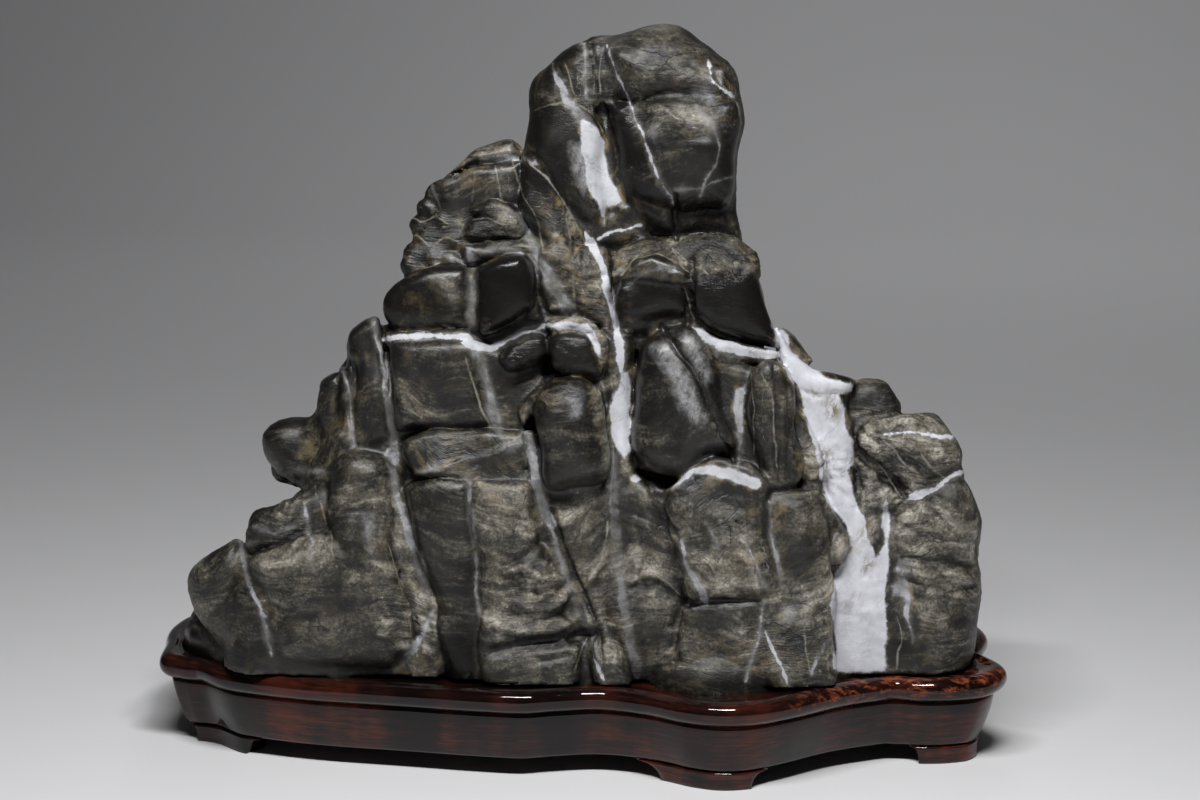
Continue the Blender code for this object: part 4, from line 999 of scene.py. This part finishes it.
class Nodes:
    """A material's node tree, with short ways to add nodes and join them."""

    def __init__(self, name):
        self.material = bpy.data.materials.new(name)
        self.material.use_nodes = True
        self.tree = self.material.node_tree
        self.shader = self.tree.nodes["Principled BSDF"]

    def put(self, socket, value):
        """Joins a socket to the socket, or sets its value; a colour of three gets its alpha."""
        if isinstance(value, bpy.types.NodeSocket):
            self.tree.links.new(value, socket)
        elif isinstance(value, tuple) and len(value) == 3 and socket.type == "RGBA":
            socket.default_value = (*value, 1)
        else:
            socket.default_value = value

    def shade(self, **inputs):
        """Puts these values into the shader's inputs, whose spaces are written as underlines."""
        for key, value in inputs.items():
            self.put(self.shader.inputs[key.replace("_", " ")], value)

    def add(self, kind, settings=None, **inputs):
        """A new node with these settings and inputs."""
        node = self.tree.nodes.new(kind)
        for key, value in (settings or {}).items():
            setattr(node, key, value)
        for key, value in inputs.items():
            self.put(node.inputs[key.replace("_", " ")], value)
        return node

    def filled(self, node, *values):
        """The node with these values put into its inputs in order."""
        for socket, value in zip(node.inputs, values):
            self.put(socket, value)
        return node

    def math(self, operation, *values, clamp=False):
        node = self.add("ShaderNodeMath", {"operation": operation, "use_clamp": clamp})
        return self.filled(node, *values).outputs[0]

    def times(self, a, b, clamp=False):
        return self.math("MULTIPLY", a, b, clamp=clamp)

    def larger(self, a, b):
        return self.math("MAXIMUM", a, b)

    def summed(self, start, *parts, clamp=False):
        """The start plus each part of (value, share), a value times its share; a clamp holds the sum."""
        for n, (value, share) in enumerate(parts, 1):
            start = self.math("MULTIPLY_ADD", value, share, start, clamp=clamp and n == len(parts))
        return start

    def span(self, value, low, high, to_low=0.0, to_high=1.0, smooth=False):
        """The value with low to high stretched over to_low to to_high, and held there."""
        kind = "SMOOTHSTEP" if smooth else "LINEAR"
        node = self.add("ShaderNodeMapRange", {"interpolation_type": kind})
        return self.filled(node, value, low, high, to_low, to_high).outputs["Result"]

    def mix(self, share, a, b):
        """Colour a with this share of colour b over it."""
        node = self.add("ShaderNodeMix", {"data_type": "RGBA"}, Factor=share)
        for socket, colour in zip((s for s in node.inputs if s.type == "RGBA"), (a, b)):
            self.put(socket, colour)
        return next(socket for socket in node.outputs if socket.type == "RGBA")

    def noise(self, where, scale, octaves, roughness):
        inputs = {"Scale": scale, "Detail": octaves, "Roughness": roughness}
        return self.add("ShaderNodeTexNoise", Vector=where, **inputs).outputs["Fac"]

    def drawn_out(self, where, scale, turn, octaves, roughness):
        """Noise that is drawn out along turned axes."""
        return self.noise(self.scaled(where, scale, turn), 1.0, octaves, roughness)

    def centred(self, value):
        return self.math("SUBTRACT", value, 0.5)

    def warped(self, where, scale, reach):
        """The place moved by noise of this scale, by up to about half the reach each way."""
        noise = self.add("ShaderNodeTexNoise", Vector=where, Scale=scale, Detail=3.0)
        centre = self.add("ShaderNodeVectorMath", {"operation": "SUBTRACT"})
        self.filled(centre, noise.outputs["Color"], (0.5, 0.5, 0.5))
        moved = self.add("ShaderNodeVectorMath", {"operation": "MULTIPLY_ADD"})
        return self.filled(moved, centre.outputs[0], (reach, reach, reach), where).outputs[0]

    def here(self):
        return self.add("ShaderNodeTexCoord").outputs["Object"]

    def parts(self, vector):
        return self.add("ShaderNodeSeparateXYZ", Vector=vector).outputs

    def number(self, name):
        return self.add("ShaderNodeAttribute", {"attribute_name": name}).outputs["Fac"]

    def numbers(self, name):
        """The three numbers of an attribute."""
        return self.parts(self.add("ShaderNodeAttribute", {"attribute_name": name}).outputs["Vector"])

    def scaled(self, where, scale, turn):
        return self.add("ShaderNodeMapping", Vector=where, Scale=scale, Rotation=turn).outputs[0]

    def ramp(self, share, stops):
        """The colour at this share along stops of (place, colour)."""
        node = self.add("ShaderNodeValToRGB", Fac=share)
        elements = node.color_ramp.elements
        while len(elements) < len(stops):
            elements.new(0.5)
        for element, (place, colour) in zip(elements, stops):
            element.position = place
            element.color = (*colour, 1)
        return node.outputs["Color"]

    def bump(self, strength, distance, height):
        node = self.add("ShaderNodeBump", Strength=strength, Distance=distance, Height=height)
        return node.outputs["Normal"]


def vein_masks(nodes, ragged, broken):
    """The veins as three masks: their cores, the grey beside them and their whiteness."""
    core, halo, white = 0.0, 0.0, 0.0
    for name in ("veins_a", "veins_b", "veins_c"):
        aside, half, whiteness = nodes.numbers(name)
        inside = nodes.math("SUBTRACT", nodes.math("ADD", half, ragged), nodes.math("ABSOLUTE", aside))
        near = nodes.span(half, -0.4, 0.1)
        solid = nodes.larger(nodes.span(whiteness, 0.45, 0.75), broken)
        this_core = nodes.times(nodes.times(nodes.span(inside, -0.45, 0.4, smooth=True), near), solid)
        white = nodes.larger(white, nodes.times(this_core, whiteness))
        core = nodes.larger(core, this_core)
        halo = nodes.larger(halo, nodes.times(nodes.span(inside, -1.6, 0.2, smooth=True), near))
    return core, halo, white


def limestone():
    """Blocks, layers and wrinkles tint a ramp from black to pale stone, with painted shade and sheen;
    iron and calcite go over it.
    """
    nodes = Nodes("waxed_limestone")
    here = nodes.here()
    pale, gap, stain = nodes.numbers("stone")
    closed_in, worn_edge, crumple = nodes.numbers("lie")

    broad = nodes.warped(here, *BROAD_WARP)
    warped = nodes.warped(broad, *FINE_WARP)
    layers = nodes.drawn_out(broad, *LAYERS)
    clouds = nodes.noise(broad, *CLOUDS)
    blotch = nodes.noise(here, *BLOTCH)
    grain = nodes.noise(here, *GRAIN)
    patches = nodes.span(nodes.drawn_out(warped, *PATCHES), 0.45, 0.55, -0.5, 0.5)
    specks = nodes.span(nodes.noise(here, *SPECKS), 0.66, 0.74)
    cells = nodes.scaled(nodes.warped(broad, *CELL_WARP), *CELLS)
    cells = nodes.add("ShaderNodeTexVoronoi", {"feature": "DISTANCE_TO_EDGE"}, Vector=cells, Scale=1.0)
    cracks = nodes.span(cells.outputs["Distance"], 0.0, CRACK_HALF, 1.0, 0.0)
    cracks = nodes.times(cracks, nodes.span(nodes.noise(here, *CRACKED), 0.46, 0.58, smooth=True))
    layered = nodes.span(nodes.noise(here, *LAYERED), 0.42, 0.58, 0.3, 1.0, smooth=True)
    hatching = nodes.times(nodes.centred(nodes.drawn_out(warped, *HATCHING)), layered)
    fleck = nodes.span(nodes.noise(warped, *FLECKS), 0.46, 0.66, smooth=True)
    ragged = nodes.times(nodes.centred(nodes.noise(here, *RAGGED)), 3.0)
    broken = nodes.span(nodes.noise(here, *BROKEN), 0.36, 0.6, smooth=True)

    # The tone is darkened as painted shade in wrinkle grooves, in closed-in places and at the foot.
    tone = nodes.summed(
        nodes.math("SUBTRACT", pale, 0.04),
        (nodes.centred(layers), 1.9),
        (nodes.centred(clouds), 1.3),
        (hatching, 1.0),
        (nodes.centred(blotch), nodes.span(pale, 0.0, 0.4, 0.6, 0.8)),
        (nodes.centred(grain), nodes.span(pale, 0.0, 0.4, 0.7, 0.9)),
        (nodes.number("wrinkle_shade_and_light"), -0.25),
        (patches, nodes.summed(0.12, (crumple, 0.2))),
        (specks, 0.25),
        (cracks, -0.22),
        (closed_in, -0.5),
        (worn_edge, 0.25),
        (nodes.span(nodes.parts(here)[2], FOOT_DARK, FOOT_LIGHT, 0.35, 0.0, smooth=True), -1.0),
    )
    colour = nodes.ramp(tone, STONE_RAMP)

    edge = nodes.span(gap, 0.2, 2.4, 1.0, 0.0, smooth=True)
    rusty = nodes.times(edge, nodes.span(nodes.noise(here, *RUSTED), 0.45, 0.6, 0.05, 0.6))
    iron = nodes.math("ADD", rusty, nodes.summed(nodes.span(pale, 0.0, 0.25, 0.0, 0.08), (stain, 1.1)))
    colour = nodes.mix(nodes.times(nodes.times(iron, fleck, clamp=True), 0.8), colour, IRON)
    # Painted shade: the stone goes black along the narrow cracks between blocks.
    painted_crack_shade = nodes.times(edge, nodes.span(clouds, 0.4, 0.62, 0.9, 0.1))
    colour = nodes.mix(painted_crack_shade, colour, BLACK_STONE)

    core, halo, white = vein_masks(nodes, ragged, broken)
    outside, body_white, sheen_and_frost = nodes.numbers("calcite")
    outside = nodes.summed(outside, (ragged, 0.9))
    body = nodes.span(outside, -0.9, 0.6, 1.0, 0.0, smooth=True)
    rim = nodes.span(outside, 0.0, 1.5, 1.0, 0.0, smooth=True)
    core = nodes.larger(core, body)
    white = nodes.larger(white, nodes.times(body, body_white))
    # Patches of painted sheen and highlight, a few of them frosted calcite, are lightened here.
    sheen_and_frost = nodes.span(nodes.summed(sheen_and_frost, (ragged, 1.6)), -2.5, 2.0, 1.0, 0.0, smooth=True)
    sheen_and_frost = nodes.times(sheen_and_frost, nodes.span(nodes.noise(warped, *SHEEN_AND_FROST_NOISE), 0.36, 0.7))
    colour = nodes.mix(nodes.times(sheen_and_frost, 0.85), colour, SHEEN_AND_FROST_WHITE)

    aside, half, hair_white = nodes.numbers("hairlines")
    inside = nodes.math("SUBTRACT", nodes.summed(half, (ragged, 0.5)), nodes.math("ABSOLUTE", aside))
    hairline = nodes.times(nodes.span(inside, -0.3, 0.3, smooth=True), nodes.span(half, -0.4, 0.1))
    hairline = nodes.times(hairline, nodes.span(broken, 0.0, 1.0, 0.12, 0.8))
    colour = nodes.mix(hairline, colour, nodes.mix(nodes.span(hair_white, 0.4, 0.8), OCHRE, HAIR_PALE))

    mottle, drift = nodes.centred(blotch), nodes.centred(clouds)
    chalk = nodes.summed(-0.55, (white, 1.4), (mottle, 0.9), (drift, 1.0), (cracks, -0.3), clamp=True)
    chalk = nodes.mix(chalk, CALCITE_GREY, CALCITE_WHITE)
    stained = nodes.span(nodes.noise(warped, *STAINED), 0.47, 0.58, 0.06, 1.1)
    stained = nodes.times(stain, nodes.times(stained, body), clamp=True)
    chalk = nodes.mix(stained, chalk, CALCITE_STAIN)
    colour = nodes.mix(nodes.times(rim, nodes.times(fleck, 0.6)), colour, IRON)
    colour = nodes.mix(nodes.times(halo, nodes.span(clouds, 0.38, 0.62, 0.05, 0.5)), colour, VEIN_EDGE)
    dense = nodes.span(nodes.summed(white, (mottle, 1.6)), 0.15, 0.75, 0.4, 1.0)
    colour = nodes.mix(nodes.times(core, dense), colour, chalk)

    gloss = nodes.span(pale, -0.2, 0.3, 0.22, 0.44)
    gloss = nodes.summed(gloss, (crumple, 0.1), (mottle, 0.3), (drift, 0.3), (core, 0.2), clamp=True)
    height = nodes.summed(layers, (hatching, 0.7), (blotch, 0.4), (cracks, -0.15), (grain, 0.06))
    firm = nodes.times(nodes.span(crumple, 0.1, 0.9, 0.12, 1.0), nodes.span(core, 0.0, 1.0, 1.0, 0.4))
    nodes.shade(
        Base_Color=colour, Roughness=gloss, Specular_IOR_Level=nodes.span(pale, -0.2, 0.15, 0.16, 0.42),
        Normal=nodes.bump(firm, STONE_BUMP, height),
    )
    return nodes.material


rock.data.materials.append(limestone())
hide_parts("rock")
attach(rock, "root")


# ==== The stand ===========================================================================
# One carved board of rosewood with a worn, rolled lip round its top, a wall that draws in
# downwards, and a shallow seat cut to the rock's foot. It is stained and thickly lacquered.

LIP_MIDDLE = 28.7
LIP_BOTTOM = 24.5
WALL_BOTTOM = 6.5
LIP_ROUND = 4.4
WALL_IN = 9.3
# The line cut under the lip, as (inwards, above the lip's bottom).
LIP_CUT = ((5.4, 0.1), (5.3, -0.5), (4.7, -0.9))
# The wall's inset at its top, how far that lies below the lip's bottom, and the wall's height.
WALL_TOP_IN, WALL_DROP, WALL_HIGH = 4.5, 1.2, 15.6
WALL_CURVE = 1.5
# The wall's rounded lower edge, as (further inwards, above the wall's bottom).
WALL_EDGE = ((0.5, 0.5), (1.3, 0))
# Heights of the seat's wall: above its floor, then below the lip's top.
SEAT_WALL_FOOT, SEAT_WALL_TOP, SEAT_RIM = 0.6, 1.6, 0.9
SEAT_ROUND = 0.006
# How far out the loops on the seat's floor and on the underside lie, as shares of its edge.
FLOOR_LOOPS, UNDER_LOOPS = (0.02, 0.5, 0.97, 1), (0.9, 0.5, 0.02)
# From the seat's rim out to the lip, as (share of the way, rise above the rim).
SEAT_TO_LIP = ((0.3, -0.1), (0.6, 0.1), (0.85, 0.6))
LIP_PLAN = (
    (-150, -12), (-143, -19), (-136, -22), (-123, -36), (-96, -48), (-61, -57), (-37, -63), (-19, -66),
    (-6, -63), (8, -61), (22, -67), (35, -77), (48, -82), (62, -80), (76, -71), (94, -56), (111, -47),
    (120, -50), (133, -49), (145, -43), (152, -29), (148, -14), (143, -4), (148, 8), (151, 22), (147, 38),
    (134, 51), (112, 58), (98, 70), (72, 79), (44, 82), (16, 78), (-6, 70), (-30, 79), (-62, 82),
    (-92, 76), (-112, 64), (-132, 62), (-146, 50), (-152, 30), (-151, 8),
)
NOTCHES = ((-136, -22), (111, -47), (143, -4), (112, 58), (-6, 70), (-112, 64))
LIP_STEPS = 14
SEAT_FINE_STEPS = 8


def drawn_in(loop, inwards):
    """The anticlockwise loop moved inwards, each point square to the line between its neighbours."""
    along = np.roll(loop, -1, axis=0) - np.roll(loop, 1, axis=0)
    along /= np.linalg.norm(along, axis=1)[:, None]
    return loop + inwards * np.stack([-along[:, 1], along[:, 0]], axis=1)


def stand_section():
    """The outside of the stand as (inwards, height): half an ellipse for the lip, a line cut under it,
    and a wall whose inset grows as the 1.5th power of the way down."""
    turn = np.radians(np.linspace(90, -90, 17))
    rise = np.where(turn > 0, LIP_TOP - LIP_MIDDLE, LIP_MIDDLE - LIP_BOTTOM)
    lip = np.stack([LIP_ROUND * (1 - np.cos(turn)), LIP_MIDDLE + rise * np.sin(turn)], axis=1)
    cut = np.array(LIP_CUT) + (0, LIP_BOTTOM)
    down = np.linspace(0, 1, 10)
    inset = WALL_TOP_IN + (WALL_IN - WALL_TOP_IN) * down**WALL_CURVE
    wall = np.stack([inset, LIP_BOTTOM - WALL_DROP - WALL_HIGH * down], axis=1)
    return np.concatenate([lip, cut, wall, np.array(WALL_EDGE) + (WALL_IN, WALL_BOTTOM)])


def round_the_middle(loop, angles):
    """The points of a loop round the origin that lie at these angles."""
    turns = np.arctan2(loop[:, 1], loop[:, 0])
    order = np.argsort(turns)
    reach = np.hypot(loop[:, 0], loop[:, 1])[order]
    reach = np.interp(angles, turns[order], reach, period=2 * np.pi)
    return reach[:, None] * np.stack([np.cos(angles), np.sin(angles)], axis=1)


def skinned(rows):
    """The points and faces of a stack of plan loops with heights, closed by a face at each end."""
    around = len(rows[0][0])
    points = np.concatenate([np.column_stack([plan, np.full(around, height)]) for plan, height in rows])
    r, c = np.meshgrid(np.arange(len(rows) - 1), np.arange(around), indexing="ij")
    here, after = r * around + c, r * around + (c + 1) % around
    faces = np.stack([here, here + around, after + around, after], axis=-1).reshape(-1, 4).tolist()
    ends = [list(range(around)), list(range(len(points) - around, len(points)))[::-1]]
    return points, faces + ends


def stand_mesh():
    """Rows from the middle of the seat's floor, up over the lip, down the wall and to the middle of the
    underside: the lip's plan drawn in by the section, and the seat's plan at the same angles."""
    lip = smooth_loop(LIP_PLAN, NOTCHES, LIP_STEPS)
    angles = np.arctan2(lip[:, 1], lip[:, 0])
    seat = round_the_middle(smooth_loop(SEAT_PLAN, (), SEAT_FINE_STEPS), angles)
    to_lip = drawn_in(lip, LIP_ROUND) - seat
    rim = LIP_TOP - SEAT_RIM
    rows = [(share * seat, SEAT_FLOOR) for share in FLOOR_LOOPS]
    rows += [(seat, SEAT_FLOOR + SEAT_WALL_FOOT), (seat, LIP_TOP - SEAT_WALL_TOP)]
    rows.append((seat + SEAT_ROUND * seat, rim))
    rows += [(seat + share * to_lip, rim + rise) for share, rise in SEAT_TO_LIP]
    rows += [(drawn_in(lip, inwards), height) for inwards, height in stand_section()]
    edge = drawn_in(lip, WALL_IN + WALL_EDGE[-1][0])
    rows += [(share * edge, WALL_BOTTOM) for share in UNDER_LOOPS]
    return skinned(rows)


LACQUER_DARK = (0.004, 0.002, 0.0018)
LACQUER_BROWN = (0.024, 0.007, 0.005)
LACQUER_RED = (0.1, 0.02, 0.009)
LACQUER_WORN = (0.2, 0.05, 0.022)
# The wood's noises, drawn out along the board, as (scale along each axis, turn, octaves, roughness).
RIBBONS = ((46, 22, 7), (0, 0, 0), 3.0, 0.5)
WOOD_GRAIN = ((18, 90, 620), (0, 0, 0), 6.0, 0.65)
PORES = ((160, 160, 1300), (0, 0, 0), 3.0, 0.5)
FIBRES = ((130, 420, 420), (0, 0, 0.5), 4.0, 0.7)
UNEVEN = (110.0, 2.0, 0.4)
# Heights between which the colour is darkened towards the lip's top as painted shade, and where the
# lacquer starts to be worn.
LIP_DARKENS, WORN_UP, WORN_ACROSS = (0.024, 0.03), (0.025, 0.029), (0.062, 0.095)
LACQUER_BUMP = 0.0012


def rosewood():
    """Level grain lines and broad ribbons of redder wood under a clear coat."""
    nodes = Nodes("lacquered_rosewood")
    here = nodes.here()
    grain = nodes.drawn_out(here, *WOOD_GRAIN)
    pores = nodes.drawn_out(here, *PORES)
    ribbons = nodes.span(nodes.drawn_out(here, *RIBBONS), 0.3, 0.7, 0.18, 0.84)
    tone = nodes.summed(ribbons, (nodes.centred(grain), 0.9), (nodes.centred(pores), 0.5))
    colour = nodes.ramp(tone, ((0.36, LACQUER_DARK), (0.58, LACQUER_BROWN), (0.9, LACQUER_RED)))
    across, _, up = nodes.parts(here)
    # Painted shade: the lip is darkened towards its top, which the lamps above light.
    colour = nodes.mix(nodes.span(up, *LIP_DARKENS, 0.0, 0.6), colour, LACQUER_DARK)
    worn = nodes.times(nodes.span(across, *WORN_ACROSS, smooth=True), nodes.span(up, *WORN_UP))
    worn = nodes.times(worn, nodes.span(nodes.drawn_out(here, *FIBRES), 0.5, 0.66))
    bump = nodes.bump(0.13, LACQUER_BUMP, nodes.summed(nodes.noise(here, *UNEVEN), (grain, 0.12)))
    nodes.shade(
        Base_Color=nodes.mix(worn, colour, LACQUER_WORN), Specular_IOR_Level=0.0,
        Roughness=nodes.span(pores, 0.3, 0.7, 0.28, 0.45), Normal=bump,
        Coat_Weight=1.0, Coat_Roughness=0.06, Coat_IOR=1.4, Coat_Normal=bump,
    )
    return nodes.material


lacquer = rosewood()
stand = new_piece("rosewood_stand", *stand_mesh())
stand.data.materials.append(lacquer)
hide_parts("stand")
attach(stand, "root")


# ==== The feet ============================================================================
# Five low feet cut from the same wood and glued under the wall's edge. Each follows the wall
# in plan, and its ends curve in towards the ground.

FOOT_TOP = 6.2
FOOT_REACH = 12
FOOT_SHORTER = 0.26
FOOT_OUT = 0.6
FOOT_ROUND = 0.5
FOOT_SPANS = 28
FOOT_RINGS = 9
# Each foot's name, and where its ends lie on the wall's lower edge.
FEET = (
    ("foot_front", (18, -59), (67, -67)),
    ("foot_left", (-139, -8), (-114, -34)),
    ("foot_right", (116, -41), (143, -26)),
    ("foot_back_right", (142, 28), (110, 52)),
    ("foot_back_left", (-112, 56), (-142, 32)),
)


def stretch_of(loop, start, end, share):
    """Points evenly along the loop over the middle share of the way from start to end."""
    first = np.argmin(np.hypot(*(loop - start).T))
    last = np.argmin(np.hypot(*(loop - end).T))
    last += len(loop) if last < first else 0
    at = (first + last) / 2 + (last - first) * share * np.linspace(-0.5, 0.5, FOOT_SPANS + 1)
    low = np.floor(at).astype(int)
    t = (at - low)[:, None]
    return loop[low % len(loop)] * (1 - t) + loop[(low + 1) % len(loop)] * t


def foot_mesh(start, end):
    """Rings from top to ground: the foot's length shrinks as a quarter ellipse, and its ends and lower
    edge are rounded by drawing the last ring in."""
    lip = smooth_loop(LIP_PLAN, NOTCHES, LIP_STEPS)
    rings = []
    for below in np.linspace(0, 1, FOOT_RINGS):
        share = 1 - FOOT_SHORTER * np.sqrt(1 - (1 - below) ** 2)
        inset = FOOT_ROUND if below == 1 else 0.0
        outer = stretch_of(drawn_in(lip, WALL_IN + FOOT_OUT + inset), start, end, share)
        inner = stretch_of(drawn_in(lip, WALL_IN + FOOT_REACH - inset), start, end, share)
        rings.append((np.concatenate([outer, inner[::-1]]), FOOT_TOP * (1 - below)))
    return skinned(rings)


for foot_name, foot_start, foot_end in FEET:
    foot = new_piece("rosewood_" + foot_name, *foot_mesh(foot_start, foot_end))
    foot.data.materials.append(lacquer)
    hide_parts(foot_name)
    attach(foot, "root")


# ==== The setting =========================================================================
# A pale paper sweep that the stand rests on, rising behind it, lit by two small softboxes in
# front and above, a weak one behind and one over the backdrop, and seen by a long lens from a
# little above.

SWEEP_FRONT, SWEEP_BACK, SWEEP_HALF, SWEEP_ROUND, SWEEP_HIGH = -3.0, 1.5, 3.5, 1.5, 3.5
PAPER = (0.62, 0.62, 0.63)
PAPER_ROUGHNESS = 0.6


def sweep():
    """A strip that runs back level, turns up through a quarter circle and goes on upright."""
    turn = np.radians(np.linspace(0, 90, 33))
    upright = SWEEP_BACK + SWEEP_ROUND
    y = np.concatenate([[SWEEP_FRONT], SWEEP_BACK + SWEEP_ROUND * np.sin(turn), [upright]])
    z = np.concatenate([[0], SWEEP_ROUND * (1 - np.cos(turn)), [SWEEP_HIGH]])
    left = np.column_stack([np.full(len(y), -SWEEP_HALF), y, z])
    right = left * np.array((-1, 1, 1))
    n = np.arange(len(y) - 1)
    faces = np.stack([n, n + len(y), n + len(y) + 1, n + 1], axis=1).tolist()
    piece = new_piece("paper_sweep", np.concatenate([left, right]) / MM, faces)
    paper = Nodes("grey_white_paper")
    paper.shade(Base_Color=PAPER, Roughness=PAPER_ROUGHNESS)
    piece.data.materials.append(paper.material)
    return piece


sweep()


def facing(place, target):
    """The rotation that points an object's -Z from a place to a target."""
    return (Vector(target) - Vector(place)).to_track_quat("-Z", "Y").to_euler()


# Softboxes, as (name, place, target, size, watts).
SOFTBOXES = (
    ("key_right", (0.11, -0.5, 0.7), (0, 0, 0.08), (0.2, 0.07), 5.6),
    ("key_left", (-0.11, -0.47, 0.68), (0, 0, 0.08), (0.26, 0.05), 3.6),
    ("from_behind", (0.1, 1.2, 1.15), (0, 0, 0.1), (0.5, 0.4), 1.2),
    ("backdrop", (0.4, 1.35, 1.2), (0.35, 2.3, 0.0), (0.5, 0.5), 5.2),
)

for light_name, light_place, light_target, light_size, watts in SOFTBOXES:
    lamp = bpy.data.lights.new(light_name, "AREA")
    lamp.shape = "RECTANGLE"
    lamp.size, lamp.size_y = light_size
    lamp.energy = watts
    light = bpy.data.objects.new(light_name, lamp)
    light.location = light_place
    light.rotation_euler = facing(light_place, light_target)
    bpy.context.scene.collection.objects.link(light)

AIR = (0.9, 0.93, 1, 1)
AIR_STRENGTH = 0.02

world = bpy.data.worlds.new("studio_air")
world.use_nodes = True
world.node_tree.nodes["Background"].inputs["Color"].default_value = AIR
world.node_tree.nodes["Background"].inputs["Strength"].default_value = AIR_STRENGTH
bpy.context.scene.world = world
bpy.context.scene.view_settings.view_transform = "Standard"

CAMERA_PLACE = (0.008, -1.124, 0.322)
CAMERA_TARGET = (0.008, 0.006, 0.122)
CAMERA_LENS = 95.8

camera = bpy.data.objects.new("camera", bpy.data.cameras.new("camera"))
camera.location = CAMERA_PLACE
camera.rotation_euler = facing(CAMERA_PLACE, CAMERA_TARGET)
camera.data.lens = CAMERA_LENS
bpy.context.scene.collection.objects.link(camera)
bpy.context.scene.camera = camera
